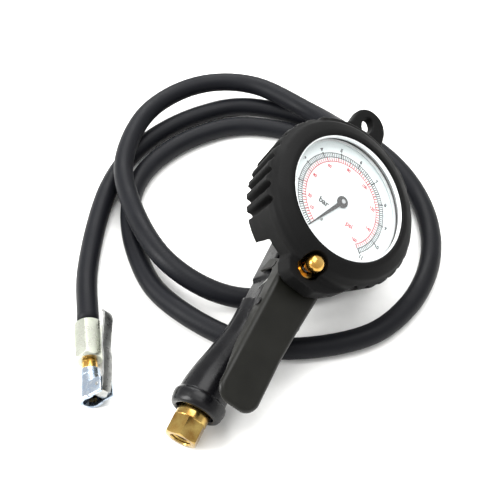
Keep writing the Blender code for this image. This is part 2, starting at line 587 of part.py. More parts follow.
def build_movement():
    toward = math.degrees(math.atan2(SECTOR_AT[1], SECTOR_AT[0]))
    teeth = []
    for index in range(8):
        middle = toward + 22.5 + 45 * index
        for radius, offset in ((1.2, -13), (1.86, -5), (1.86, 5), (1.2, 13)):
            angle = math.radians(middle + offset)
            teeth.append((radius * math.cos(angle), radius * math.sin(angle)))
    arbor = prism("pinion_arbor", teeth, -17.4, -15.1, NEEDLE, finish="steel")
    join(arbor, rod("arbor_shaft", 0.6, -22.0, -7.2, NEEDLE, sides=12))
    line = toward + 180
    rim = []
    for index in range(-8, 3):
        for radius, offset in ((15.45, -1.35), (16.25, -0.5), (16.25, 0.5), (15.45, 1.35)):
            angle = math.radians(line + 4.5 * index + offset)
            rim.append((radius * math.cos(angle), radius * math.sin(angle)))
    low, high = line - 38.5, line + 11
    inner = [*arc((0, 0), 13.2, high, low, 8)]
    spoke_low, spoke_high = line - 20, line - 8
    sector = [*rim, *arc((0, 0), 13.2, high, spoke_high, 3), *arc((0, 0), 2.6, spoke_high + 50, spoke_low + 310, 12),
              *arc((0, 0), 13.2, spoke_low, low, 3)]
    gear = prism("sector_gear", sector, -17.0, -15.5, SECTOR, finish="brass")
    join(gear, rod("sector_shaft", 0.9, -22.0, -11.0, SECTOR, sides=12))
    plate = [(-22, -6), (-14, -20.4), (13, -20.4), (13, -11), (4, 5), (-4, 6.5), (-20, 2)]
    pillars = [("pillar_left", (-18.2, -3.0)), ("pillar_right", (9.6, -15.2))]
    for name, low, high in (("front_plate", -13.2, -12.2), ("back_plate", -21.0, -20.0)):
        made = prism(name, plate, low, high, GAUGE, finish="brass")
        cut(made, rod(name + "_arbor_hole", 0.75, low - 1, high + 1, GAUGE, sides=12),
            rod(name + "_sector_hole", 1.05, low - 1, high + 1, GAUGE, (*SECTOR_AT, 0), sides=12))
        for pillar, place in pillars:
            cut(made, rod(name + "_" + pillar, 1.02, low - 1, high + 1, GAUGE, (*place, 0), sides=16))
    for name, place in pillars:
        post = [(0, -9.2), (1.0, -9.2), (1.0, -13.5), (1.8, -13.5), (1.8, -19.7), (1.0, -19.7), (1.0, -21.4), (0, -21.4)]
        turned(name, post, GAUGE, (*place, 0), finish="brass", steps=16)
    socket = box("gauge_socket", (-5, -30, -24.6), (5, -21, -12.6), GAUGE, finish="brass", bevel=0.6)
    join(socket, box("socket_tongue", (-3.9, -24, -24.2), (3.9, -7, -21.3), GAUGE),
         turned("socket_stem", solid_rod(6.3, -41.2, -22.7), GAUGE, (0, SOCKET_V, 0), steps=24))
    cut(socket, rod("socket_bore", 1.5, -42, -18, GAUGE, (0, SOCKET_V, 0), sides=12),
        rod("socket_pillar_gap", 2.3, -25, -20, GAUGE, (9.6, -15.2, 0), sides=16))
    tube = []
    for index in range(25):
        angle = math.radians(-76 + 274 * index / 24)
        spot = Vector((math.cos(angle), math.sin(angle), 0))
        tube.append([spot * radius + Vector((0, 0, w)) for radius, w in
                     ((25.4, -15), (26.2, -13.8), (27.8, -13.8), (28.6, -15), (28.6, -21.6), (27.8, -22.8),
                      (26.2, -22.8), (25.4, -21.6))])
    swept_loops("bourdon_tube", [tube], GAUGE, finish="brass")
    link = strip_outline([(-25.0, -9.2), (-19.5, -12.5), (-13.2, -16.0)], 1.6)
    prism("tube_link", link, -15.0, -14.2, GAUGE, finish="steel")
    spiral = [((1.6 + 0.9 * i / 8) * math.cos(math.tau * i / 8), (1.6 + 0.9 * i / 8) * math.sin(math.tau * i / 8),
               -18.6) for i in range(40)]
    wire("hairspring", spiral, 0.15, GAUGE, finish="bronze", rounds=0)


def build_outlet():
    """Hose union in the head's end, and the ferrule crimped on the hose behind it."""
    low = OUTLET_Y
    stem = [(0, 28), (3.2, 28), (3.2, 6.3), (5.6, 6.3), (5.6, 0.4), (5.6, -9.6), (0, -9.6)]
    fitting = turned("outlet_fitting", stem, TOOL, (0, low, OUTLET_Z), ALONG_Y, "steel", steps=24)
    join(fitting, hexagon("outlet_hex", 14, 0.4, 6.0, TOOL, (0, low, OUTLET_Z), ALONG_Y))
    cut(fitting, rod("outlet_bore", 1.8, -11, 29, TOOL, (0, low, OUTLET_Z), ALONG_Y, sides=16))
    sleeve = [(8.2, 7.4), (8.2, 27.6), (7.6, 28.2), (3.6, 28.2), (3.6, 6.7), (7.6, 6.7)]
    turned("body_ferrule", sleeve, TOOL, (0, low, OUTLET_Z), ALONG_Y, "zinc_plate", ring=True)


def build_chuck():
    """Ferrule, nipple, cone-shaped body and the sprung clip that grips the tyre's valve."""
    sleeve = hexagon("chuck_ferrule", 15.4, 0.65, 25.9, CHUCK, finish="zinc_plate")
    lathe = [(0, 0.65), (7.9, 0.65), (8.5, 1.5), (8.5, 24.0), (7.2, 25.9), (0, 25.9)]
    boolean(sleeve, turned("ferrule_lathe", lathe, CHUCK, steps=40), "INTERSECT")
    cut(sleeve, rod("ferrule_bore", 4.0, -1, 27, CHUCK))
    stem = [(3.7, 1.5), (1.8, 1.5), (1.8, 36.5), (3.8, 36.5), (3.8, 32.0), (4.5, 31.8), (4.5, 26.6), (3.7, 26.3)]
    turned("chuck_nipple", stem, CHUCK, finish="brass", ring=True, steps=24)
    shell = [(0, 32.2), (5.3, 32.2), (5.8, 32.8), (6.7, 51.6), (6.4, CHUCK_LENGTH), (0, CHUCK_LENGTH)]
    body = turned("chuck_body", shell, CHUCK, finish="zinc_plate", steps=32)
    cheeks = box("clip_cheeks", (0.5, -5.6, 42.5), (12, 5.6, 52.3), CHUCK, bevel=0.8)
    join(body, cheeks)
    bore = [(0, 31), (4.0, 31), (4.0, 37.2), (1.8, 37.2), (1.8, 41.4), (4.6, 41.4), (4.6, 54), (0, 54)]
    cut(body, box("clip_slot", (2.0, -4.1, 43.5), (13, 4.1, 54), CHUCK),
        box("clip_slot_back", (7.3, -4.1, 41.5), (13, 4.1, 44), CHUCK), turned("chuck_bore", bore, CHUCK, steps=24),
        rod("clip_pin_bore", 1.12, -7, 7, CHUCK, (CLIP_PIVOT[0], 0, CLIP_PIVOT[1]), (90, 0, 0), sides=16))
    seal = tube_profile(4.4, 2.4, 41.7, 44.5)
    turned("chuck_seal", seal, CHUCK, finish="seal_rubber", ring=True, steps=24)
    turned("chuck_core_pin", [(0, 46), (0.8, 46), (0.8, 39.6), (1.5, 39.4), (1.5, 38.0), (0, 38.0)], CHUCK,
           finish="brass", steps=16)
    at = (-CLIP_PIVOT[0], 0, -CLIP_PIVOT[1])
    path = [(5.3, 50.9), (8.2, 51.2), (10.6, 50.2), (11.6, 47.2), (12.2, 42), (13.4, 30), (12.8, 22), (14.2, 12)]
    path += [(15.6, 4), (15.4, 0.5), (14.4, -1.4)]
    clip = prism("chuck_clip", [(x, z) for x, z in strip_outline(path, 1.1)], -3.7, 3.7, CLIP, at, (90, 0, 0), "zinc_plate")
    join(clip, box("clip_ears", (7.6, -3.5, 45.2), (11.6, 3.5, 48.8), CLIP, at, bevel=0.5))
    cut(clip, box("clip_gap", (6.5, -2.7, 44), (11.05, 2.7, 50.2), CLIP, at),
        rod("clip_bore", 1.17, -5, 5, CLIP, (0, 0, 0), (90, 0, 0), sides=16))
    rod("clip_pin", 1.1, -5.9, 5.9, CHUCK, (CLIP_PIVOT[0], 0, CLIP_PIVOT[1]), (90, 0, 0), "steel", sides=16)
    coil = [(CLIP_PIVOT[0] + x, z, CLIP_PIVOT[1] + y) for x, y, z in helix(1.42, -2.2, 2.2, 3, 12)]
    wire("clip_spring", coil, 0.22, CHUCK, finish="steel", rounds=0)


def build_hose():
    wire("hose", [tuple(point) for point in smooth_route(HOSE_ROUTE, HOSE_STEP)], HOSE_R, None,
         finish="hose_rubber", rounds=3)


clear_scene()
PARTS = new_collection("tyre_inflator")
CUTTERS = new_collection("cutters")
MATERIALS = {name: new_finish(name, *values) for name, values in FINISHES.items()}
TOOL = new_frame("tool_frame", None, TOOL_AT, TOOL_TURN, "YXZ")
LEVER = new_frame("lever_frame", TOOL, (0, *PIVOT))
GAUGE = new_frame("gauge_frame", TOOL, DIAL_AT, (-DIAL_TILT, 0, 0))
NEEDLE = new_frame("needle_frame", GAUGE, (0, 0, 0))
SECTOR = new_frame("sector_frame", GAUGE, (*SECTOR_AT, 0))
BUTTON = new_frame("button_frame", GAUGE, (*DEFLATE_AT, 0))
CHUCK_LAY = new_frame("chuck_lay", None, CHUCK_AT, CHUCK_LIE)
CHUCK = new_frame("chuck_frame", CHUCK_LAY, (0, 0, 0), (0, 0, CHUCK_ROLL))
CLIP = new_frame("clip_frame", CHUCK, (CLIP_PIVOT[0], 0, CLIP_PIVOT[1]))
bpy.context.view_layer.update()
build_handle()
build_inlet()
build_valve()
build_lever()
build_deflate()
build_boot()
build_gauge()
build_outlet()
build_chuck()
build_hose()
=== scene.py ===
"""A hand-held tyre inflator on a pale bench: the looks of each piece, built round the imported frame.

Sizes below are millimetres in the tool's own frames; every finished mesh is in the object's frame, in metres.
"""

import json
import math

import bmesh
import bpy
from mathutils import Matrix, Vector


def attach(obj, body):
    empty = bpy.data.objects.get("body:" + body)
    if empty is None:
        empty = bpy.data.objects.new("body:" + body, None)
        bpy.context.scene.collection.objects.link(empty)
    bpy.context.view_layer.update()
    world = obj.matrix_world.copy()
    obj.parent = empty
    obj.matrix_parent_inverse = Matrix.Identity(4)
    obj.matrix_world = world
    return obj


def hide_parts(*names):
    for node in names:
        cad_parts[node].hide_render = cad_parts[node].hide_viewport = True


bl_info = {
    "name": "Tyre inflator with gauge",
    "version": (1, 0, 0),
    "blender": (4, 5, 0),
    "location": "View3D > Sidebar > Inflator",
    "description": "Squeeze-lever tyre inflator with a booted dial gauge, hose and clip-on chuck",
    "category": "Object",
}

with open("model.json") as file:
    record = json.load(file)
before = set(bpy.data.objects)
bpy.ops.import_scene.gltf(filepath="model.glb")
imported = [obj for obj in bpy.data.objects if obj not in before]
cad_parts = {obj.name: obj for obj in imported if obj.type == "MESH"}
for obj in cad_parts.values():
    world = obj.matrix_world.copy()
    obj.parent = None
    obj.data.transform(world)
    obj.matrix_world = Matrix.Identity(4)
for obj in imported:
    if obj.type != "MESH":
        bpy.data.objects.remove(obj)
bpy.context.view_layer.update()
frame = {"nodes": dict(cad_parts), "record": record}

MM = 0.001
SCALE = Matrix.Diagonal((MM, MM, MM, 1.0))


def turn(axis, degrees):
    return Matrix.Rotation(math.radians(degrees), 4, axis)


def shift(x, y, z):
    return Matrix.Translation((x, y, z))


TOOL = shift(-53.3, -74.0, 14.9) @ turn("Z", -25.0) @ turn("X", 9.0) @ turn("Y", 37.5)
GAUGE = TOOL @ shift(0, 129.0, 62.0) @ turn("X", -5.0)
DEFLATE = GAUGE @ shift(-1.5, -46.2, 0)
CHUCK = shift(-120.0, -13.5, 8.8) @ turn("Z", 8.4) @ turn("X", 91.5) @ turn("Z", 35.0)
ALONG_Y = turn("X", -90)
ALONG_X = turn("Y", 90)
SIDE_ON = turn("Z", 90) @ turn("X", 90)

ON_AXIS = 1e-6  # a radius below this counts as lying on the axis

# Along the tool: y runs from the inlet to the gauge, z rises from the handle to the lever.
VALVE_Y = 56.0
OUTLET_Y, OUTLET_Z = 116, 16
PIVOT = (83.5, 31.0)
ROLLER = (56.0, 38.0)
LEVER_TOP = 79.3
LEVER_HEAD = 93.0
LEVER_LEFT, LEVER_TAPER = 10.7, 0.0196
LEVER_RIGHT = 13.1

# On the gauge: x and y lie across the dial from its centre, and z = 0 is about the lip's front.
GAUGE_STEM = (0, -22, 0)
EYE_V = 64.5
NEEDLE_REST = -26.3
DIAL_FACE = -8.2
INK = 0.04
LAST_BAR = 11
LAST_PSI = 160
PSI_PER_BAR = 14.504

HOSE_STEP = 5.0
HOSE_SIDES = 32

HOSE_ROUTE = [
    (-120, -13.5, 8.8), (-125.5, 29, 7.2), (-120, 98, 7), (-108, 130, 7), (-88.5, 154.5, 7),
    (-60.5, 174, 7), (-28, 183, 7), (33.5, 163, 7), (66, 136, 7), (85, 103, 7), (92.5, 66.5, 7),
    (88, 32, 7), (71, 0.5, 7), (43, -21.5, 7), (-19.5, -28, 7), (-76.5, 7, 7), (-94, 37, 7),
    (-103, 75.5, 7), (-100.5, 105, 7), (-87, 130, 7), (-60, 152.5, 7), (-27.5, 162, 7), (38, 140, 6.8),
    (63, 102, 6.8), (60, 54, 6.8), (37, 25, 6.8), (-30, 6, 8.5), (-74.5, 25.5, 19), (-107, 94, 20.5),
    (-107, 130.5, 20.5), (-95, 164, 20.5), (-71.5, 186.5, 20.5), (-47, 194.5, 20.5), (-19, 190, 20.5),
    (17, 161.5, 21.5), (31, 142, 27.5), (38.5, 117, 40), (34.5, 94, 50), (25.4, 71.8, 53.7),
    (15, 49.4, 50),
]


class InflatorSizes(bpy.types.PropertyGroup):
    """Sizes that a user would change."""

    hose_radius: bpy.props.FloatProperty(
        name="Hose radius", description="Outside radius of the rubber hose", default=0.0065, unit="LENGTH")
    bar_step: bpy.props.FloatProperty(
        name="Bar step", description="Angle between two bar numbers", default=math.radians(26),
        subtype="ANGLE")
    rib_pitch: bpy.props.FloatProperty(
        name="Rib pitch", description="Angle between two of the boot's ribs", default=math.radians(10),
        subtype="ANGLE")
    needle_length: bpy.props.FloatProperty(
        name="Needle length", description="From the hub's centre to the needle's tip", default=0.0295,
        unit="LENGTH")


def colour_property(name, description, hexadecimal):
    return bpy.props.FloatVectorProperty(
        name=name, description=description, default=linear(hexadecimal)[:3], subtype="COLOR", min=0, max=1)


def linear(hexadecimal):
    """An sRGB colour such as "#c8a04a" as linear red, green, blue and alpha."""
    parts = [int(hexadecimal[i:i + 2], 16) / 255 for i in (1, 3, 5)]
    parts = [c / 12.92 if c <= 0.04045 else ((c + 0.055) / 1.055) ** 2.4 for c in parts]
    return (*parts, 1.0)


class InflatorColours(bpy.types.PropertyGroup):
    """Colours that a user would change."""

    enamel: colour_property("Handle enamel", "Stoved black enamel on the casting", "#08080a")
    lever: colour_property("Lever enamel", "Black enamel on the pressed lever", "#0e0e0a")
    rubber: colour_property("Boot rubber", "Moulded rubber of the gauge boot", "#080808")
    hose: colour_property("Hose rubber", "Extruded rubber of the hose", "#0b0c10")
    brass: colour_property("Brass", "Turned brass", "#d3ac62")
    dial: colour_property("Dial", "White lacquer on the dial", "#d9e2e2")
    red_ink: colour_property("Red ink", "Ink of the psi scale", "#b02c36")


def sizes():
    return bpy.context.scene.inflator_sizes


def colour(name):
    return (*getattr(bpy.context.scene.inflator_colours, name), 1.0)


def node(tree, kind, inputs=None, **settings):
    """A new node with its settings; an input is a value, or the socket that feeds it."""
    made = tree.nodes.new(kind)
    for key, value in settings.items():
        setattr(made, key, value)
    for key, value in (inputs or {}).items():
        if isinstance(value, bpy.types.NodeSocket):
            tree.links.new(value, made.inputs[key])
        else:
            made.inputs[key].default_value = value
    return made


def finish(name, **values):
    """A material with its Principled shader; returns the material, its tree and the shader."""
    made = bpy.data.materials.new(name)
    made.use_nodes = True
    shader = made.node_tree.nodes["Principled BSDF"]
    for key, value in values.items():
        shader.inputs[key.replace("_", " ").title().replace("Ior", "IOR")].default_value = value
    return made, made.node_tree, shader


def grain(tree, size_mm, detail=3.0, stretch=(1, 1, 1)):
    """Noise on Object coordinates whose grains are about size_mm across."""
    place = node(tree, "ShaderNodeTexCoord").outputs["Object"]
    mapped = node(tree, "ShaderNodeMapping", {"Vector": place, "Scale": stretch})
    return node(tree, "ShaderNodeTexNoise", {
        "Vector": mapped.outputs["Vector"], "Scale": 1000.0 / size_mm, "Detail": detail})


def spread(tree, fac, low, high):
    """A factor remapped to the range from low to high."""
    return node(tree, "ShaderNodeMapRange", {
        "Value": fac, "From Min": 0.3, "From Max": 0.7, "To Min": low, "To Max": high}).outputs["Result"]


def blend_colours(tree, fac, first, second):
    mix = node(tree, "ShaderNodeMix", {"Factor": fac}, data_type="RGBA")
    mix.inputs[6].default_value = first
    mix.inputs[7].default_value = second
    return mix.outputs[2]


def scaled_colour(value, factor):
    return (*[min(c * factor, 1.0) for c in value[:3]], 1.0)


def mottled(tree, shader, fac, base, darker, lighter):
    """The base colour in patches, scaled between two factors."""
    mix = blend_colours(tree, fac, scaled_colour(base, darker), scaled_colour(base, lighter))
    tree.links.new(mix, shader.inputs["Base Color"])


def bumped(tree, shader, height, strength, distance_mm):
    bump = node(tree, "ShaderNodeBump", {
        "Height": height, "Strength": strength, "Distance": distance_mm * MM})
    tree.links.new(bump.outputs["Normal"], shader.inputs["Normal"])


def stoved_enamel(name, base, rough):
    """Baked black enamel: an even semi-gloss skin with a faint orange peel and thinner, duller patches."""
    made, tree, shader = finish(name, metallic=0.0, specular_ior_level=0.22)
    cloud = grain(tree, 9.0)
    peel = grain(tree, 1.4, 2.0)
    mottled(tree, shader, cloud.outputs["Fac"], base, 0.8, 1.35)
    tree.links.new(spread(tree, cloud.outputs["Fac"], rough - 0.05, rough + 0.1), shader.inputs["Roughness"])
    bumped(tree, shader, peel.outputs["Fac"], 0.35, 0.05)
    return made


def moulded_rubber(name, base, rough, stretch=(1, 1, 1)):
    """Compression-moulded rubber: matt, with a fine pitted skin and greyer bloom in patches."""
    made, tree, shader = finish(name, metallic=0.0, specular_ior_level=0.1)
    bloom = grain(tree, 14.0, 4.0, stretch)
    skin = grain(tree, 0.8, 3.0)
    mottled(tree, shader, bloom.outputs["Fac"], base, 0.75, 1.6)
    tree.links.new(spread(tree, bloom.outputs["Fac"], rough - 0.06, rough + 0.08), shader.inputs["Roughness"])
    bumped(tree, shader, skin.outputs["Fac"], 0.5, 0.08)
    return made


def hose_rubber(name, base):
    """Extruded rubber over a textile braid: the braid shows through as a soft crossed weave."""
    made, tree, shader = finish(name, metallic=0.0, specular_ior_level=0.14)
    uv = node(tree, "ShaderNodeUVMap", uv_map="UVMap").outputs["UV"]
    weave = []
    for angle in (0.6, -0.6):
        mapped = node(tree, "ShaderNodeMapping", {"Vector": uv, "Rotation": (0, 0, angle)})
        weave.append(node(tree, "ShaderNodeTexWave", {
            "Vector": mapped.outputs["Vector"], "Scale": 0.16, "Distortion": 0.4}).outputs["Fac"])
    crossed = node(tree, "ShaderNodeMath", {0: weave[0], 1: weave[1]}, operation="MULTIPLY").outputs["Value"]
    bloom = grain(tree, 20.0, 4.0)
    mottled(tree, shader, bloom.outputs["Fac"], base, 0.8, 1.5)
    tree.links.new(spread(tree, bloom.outputs["Fac"], 0.42, 0.58), shader.inputs["Roughness"])
    bumped(tree, shader, crossed, 0.25, 0.12)
    return made


def turned_metal(name, base, rough, stain, patch_mm=6.0, bump=0.15):
    """Bare or plated metal from the lathe: bright, with fine tool marks and a cloudy tarnish."""
    made, tree, shader = finish(name, metallic=1.0)
    cloud = grain(tree, patch_mm, 3.0)
    marks = grain(tree, 0.6, 2.0, (1, 1, 6))
    tree.links.new(blend_colours(tree, spread(tree, cloud.outputs["Fac"], 0.0, 1.0), base, stain),
                   shader.inputs["Base Color"])
    tree.links.new(spread(tree, cloud.outputs["Fac"], rough * 0.75, rough * 1.4), shader.inputs["Roughness"])
    bumped(tree, shader, marks.outputs["Fac"], bump, 0.03)
    return made


def lacquer(name, base, rough):
    """Printed or sprayed lacquer: flat colour with a slight orange peel."""
    made, tree, shader = finish(name, metallic=0.0, roughness=rough, specular_ior_level=0.15)
    cloud = grain(tree, 5.0)
    mottled(tree, shader, cloud.outputs["Fac"], base, 0.96, 1.03)
    bumped(tree, shader, cloud.outputs["Fac"], 0.1, 0.02)
    return made


def satin_ring(name, base):
    """Pale satin metal without a sharp reflection; its near-white colour is a painted reflection, standing in
    for the bright crescent that a polished chrome ring shows.
    """
    made, tree, shader = finish(name, metallic=0.35)
    cloud = grain(tree, 4.0)
    tree.links.new(blend_colours(tree, cloud.outputs["Fac"], scaled_colour(base, 0.94), base),
                   shader.inputs["Base Color"])
    tree.links.new(spread(tree, cloud.outputs["Fac"], 0.3, 0.45), shader.inputs["Roughness"])
    return made


def clear_window(name):
    """Polished clear plastic: nearly unseen but for its reflections and rim."""
    made, tree, shader = finish(name, metallic=0.0, alpha=0.05, specular_ior_level=0.3,
                                base_color=linear("#ffffff"))
    rough = grain(tree, 12.0)
    tree.links.new(spread(tree, rough.outputs["Fac"], 0.02, 0.06), shader.inputs["Roughness"])
    return made


MATERIALS = {}


def make_materials():
    MATERIALS.update(
        stoved_enamel=stoved_enamel("stoved_enamel", colour("enamel"), 0.26),
        lever_enamel=stoved_enamel("lever_enamel", colour("lever"), 0.4),
        boot_rubber=moulded_rubber("moulded_rubber", colour("rubber"), 0.56),
        seal_rubber=moulded_rubber("nitrile_rubber", linear("#0d0d0e"), 0.5),
        hose_rubber=hose_rubber("hose_rubber", colour("hose")),
        brass=turned_metal("turned_brass", colour("brass"), 0.2, linear("#b07f33")),
        inlet_brass=turned_metal("inlet_brass", linear("#b9a05e"), 0.22, linear("#8c6a36"), 6.0),
        zinc=turned_metal("clear_zinc_plate", linear("#c4ccd4"), 0.22, linear("#8fa0b4"), 3.0, 0.3),
        ferrule_zinc=turned_metal("yellow_zinc_plate", linear("#d6d8cc"), 0.28, linear("#aeb3a4"), 7.0),
        steel=turned_metal("bright_steel", linear("#a9aaa8"), 0.3, linear("#7f807e"), 4.0),
        # The ring finish's near-white colour is a painted reflection for the chrome spacer and bezel rings.
        ring=satin_ring("pale_ring_painted_reflection", linear("#f1f4f4")),
        chrome=turned_metal("polished_chrome", linear("#e6e9ea"), 0.1, linear("#d2d8da"), 10.0, 0.03),
        case=stoved_enamel("case_enamel", linear("#101011"), 0.42),
        dial=lacquer("dial_lacquer", colour("dial"), 0.4),
        ink_black=lacquer("black_ink", linear("#1b1c20"), 0.5),
        ink_red=lacquer("red_ink", colour("red_ink"), 0.5),
        needle=lacquer("needle_paint", linear("#0e0e0f"), 0.4),
        window=clear_window("clear_window"),
        bronze=turned_metal("sintered_bronze", linear("#9a6a38"), 0.45, linear("#6e4a26"), 1.5, 0.6),
        bench=lacquer("bench_paper", linear("#f4f4f2"), 0.9),
    )


def to_object(name, shape, place):
    """The shape, given in millimetres in a frame, as a mesh object at the origin in metres."""
    bmesh.ops.transform(shape, matrix=SCALE @ place, verts=shape.verts)
    bmesh.ops.recalc_face_normals(shape, faces=shape.faces)
    mesh = bpy.data.meshes.new(name)
    shape.to_mesh(mesh)
    shape.free()
    made = bpy.data.objects.new(name, mesh)
    bpy.context.scene.collection.objects.link(made)
    return made


def lathe(profile, steps=96):
    """A closed profile of (radius, height) spun about z; points on the axis close it with a pole."""
    shape = bmesh.new()
    rings = []
    for radius, height in profile:
        if radius < ON_AXIS:
            rings.append([shape.verts.new((0, 0, height))] * steps)
            continue
        angles = [math.tau * i / steps for i in range(steps)]
        rings.append([shape.verts.new((radius * math.cos(a), radius * math.sin(a), height)) for a in angles])
    for first, second in zip(rings, [*rings[1:], rings[0]]):
        for i in range(steps):
            j = (i + 1) % steps
            corners = list(dict.fromkeys((first[i], first[j], second[j], second[i])))
            if len(corners) > 2:
                shape.faces.new(corners)
    return shape


def rounded(profile, radius, steps=3):
    """The closed profile with each corner replaced by a short arc, except on the axis."""
    made = []
    count = len(profile)
    for i, point in enumerate(profile):
        if point[0] < ON_AXIS:
            made.append(point)
            continue
        here = Vector(point)
        before = Vector(profile[i - 1]) - here
        after = Vector(profile[(i + 1) % count]) - here
        reach = min(radius, before.length * 0.45, after.length * 0.45)
        start, end = here + before.normalized() * reach, here + after.normalized() * reach
        for k in range(steps + 1):
            t = k / steps
            made.append(tuple(start * (1 - t) ** 2 + here * 2 * t * (1 - t) + end * t ** 2))
    return made


def stacked(loops, shape=None):
    """Loops of equal count joined into one closed body."""
    shape = shape or bmesh.new()
    made = [[shape.verts.new(point) for point in loop] for loop in loops]
    for low, high in zip(made, made[1:]):
        for i in range(len(low)):
            j = (i + 1) % len(low)
            shape.faces.new((low[i], low[j], high[j], high[i]))
    shape.faces.new(made[0][::-1])
    shape.faces.new(made[-1])
    return shape


def prism(outline, low, high):
    return stacked([[(x, y, z) for x, y in outline] for z in (low, high)])


def rod(radius, low, high, sides=64):
    return prism([(radius * math.cos(math.tau * i / sides), radius * math.sin(math.tau * i / sides))
                  for i in range(sides)], low, high)


def hexagon(flats, low, high, turned_by=0.0):
    corner = flats / math.sqrt(3)
    angles = [math.radians(turned_by) + math.tau * i / 6 for i in range(6)]
    return prism([(corner * math.cos(a), corner * math.sin(a)) for a in angles], low, high)


def block(low, high):
    outline = [(low[0], low[1]), (high[0], low[1]), (high[0], high[1]), (low[0], high[1])]
    return prism(outline, low[2], high[2])


def arc(centre, radius, start, end, steps):
    angles = [math.radians(start + (end - start) * i / steps) for i in range(steps + 1)]
    return [(centre[0] + radius * math.cos(a), centre[1] + radius * math.sin(a)) for a in angles]


def smooth_step(value):
    value = min(max(value, 0.0), 1.0)
    return value * value * (3.0 - 2.0 * value)


def tube(path, radii, sides=48):
    """A closed round tube along a path of points, with no twist."""
    path = [Vector(point) for point in path]
    side = Vector((1, 0, 0))
    loops = []
    for i, point in enumerate(path):
        along = (path[min(i + 1, len(path) - 1)] - path[max(i - 1, 0)]).normalized()
        side = (side - along * side.dot(along)).normalized()
        up = along.cross(side)
        radius = radii[i] if isinstance(radii, list) else radii
        angles = [math.tau * k / sides for k in range(sides)]
        loops.append([point + (side * math.cos(a) + up * math.sin(a)) * radius for a in angles])
    return stacked(loops)


def baked(obj):
    """The object with its modifiers turned into plain mesh."""
    graph = bpy.context.evaluated_depsgraph_get()
    mesh = bpy.data.meshes.new_from_object(obj.evaluated_get(graph))
    obj.modifiers.clear()
    obj.data = mesh
    return obj


def combine(obj, others, operation):
    for other in others:
        step = obj.modifiers.new("Combine", "BOOLEAN")
        step.operation = operation
        step.solver = "EXACT"
        step.object = other
    baked(obj)
    for other in others:
        bpy.data.objects.remove(other)
    return obj


def edged(obj, width_mm, segments=2, angle=35):
    step = obj.modifiers.new("Edges", "BEVEL")
    step.width = width_mm * MM
    step.segments = segments
    step.limit_method = "ANGLE"
    step.angle_limit = math.radians(angle)
    return baked(obj)


def softened(obj, voxel_mm, passes):
    """Every edge rounded as a mould or a casting rounds it."""
    step = obj.modifiers.new("Skin", "REMESH")
    step.mode = "VOXEL"
    step.voxel_size = voxel_mm * MM
    step.adaptivity = 0.0
    relax = obj.modifiers.new("Relax", "SMOOTH")
    relax.factor = 0.5
    relax.iterations = passes
    return baked(obj)


def placed(obj, material, body, nodes, sharp=None):
    """Shades the piece, gives it its finish and hands it to its body."""
    obj.data.materials.clear()
    obj.data.materials.append(MATERIALS[material])
    obj.data.shade_smooth()
    if sharp:
        obj.data.set_sharp_from_angle(angle=math.radians(sharp))
    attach(obj, body)
    if nodes:
        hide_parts(*nodes)
    return obj


def smooth_route(route, step):
    """Points an even step apart on one smooth curve through the route's points."""
    points = [Vector(point) for point in route]
    ends = [2 * points[0] - points[1], *points, 2 * points[-1] - points[-2]]
    dense = [points[0]]
    for before, start, end, after in zip(ends, ends[1:], ends[2:], ends[3:]):
        knots = [0.0]
        for a, b in ((before, start), (start, end), (end, after)):
            knots.append(knots[-1] + math.sqrt((b - a).length))
        for i in range(1, 41):
            dense.append(curve_between(before, start, end, after, knots, i / 40))
    length = sum((b - a).length for a, b in zip(dense, dense[1:]))
    count = round(length / step)
    spaced = [dense[0]]
    walked = 0.0
    for a, b in zip(dense, dense[1:]):
        walked += (b - a).length
        if walked >= length * len(spaced) / count and len(spaced) < count:
            spaced.append(b)
    return [*spaced, dense[-1]]


def curve_between(before, start, end, after, knots, share):
    """One point of the centripetal curve from start to end."""
    t0, t1, t2, t3 = knots
    t = t1 + (t2 - t1) * share
    a1 = before.lerp(start, (t - t0) / (t1 - t0))
    a2 = start.lerp(end, (t - t1) / (t2 - t1))
    a3 = end.lerp(after, (t - t2) / (t3 - t2))
    b1 = a1.lerp(a2, (t - t0) / (t2 - t0))
    b2 = a2.lerp(a3, (t - t1) / (t3 - t1))
    return b1.lerp(b2, (t - t1) / (t2 - t1))


def strip_outline(points, thickness):
    """A bent strip's outline: both sides of its centre line."""
    sides = ([], [])
    for i, point in enumerate(points):
        before, after = points[max(i - 1, 0)], points[min(i + 1, len(points) - 1)]
        along = Vector((after[0] - before[0], after[1] - before[1])).normalized()
        for side, sign in zip(sides, (1, -1)):
            side.append((point[0] - sign * along.y * thickness / 2,
                         point[1] + sign * along.x * thickness / 2))
    return sides[0] + sides[1][::-1]


def helix(radius, low, high, turns, per_turn=32):
    count = int(turns * per_turn)
    return [(radius * math.cos(math.tau * i / per_turn), radius * math.sin(math.tau * i / per_turn),
             low + (high - low) * i / count) for i in range(count + 1)]


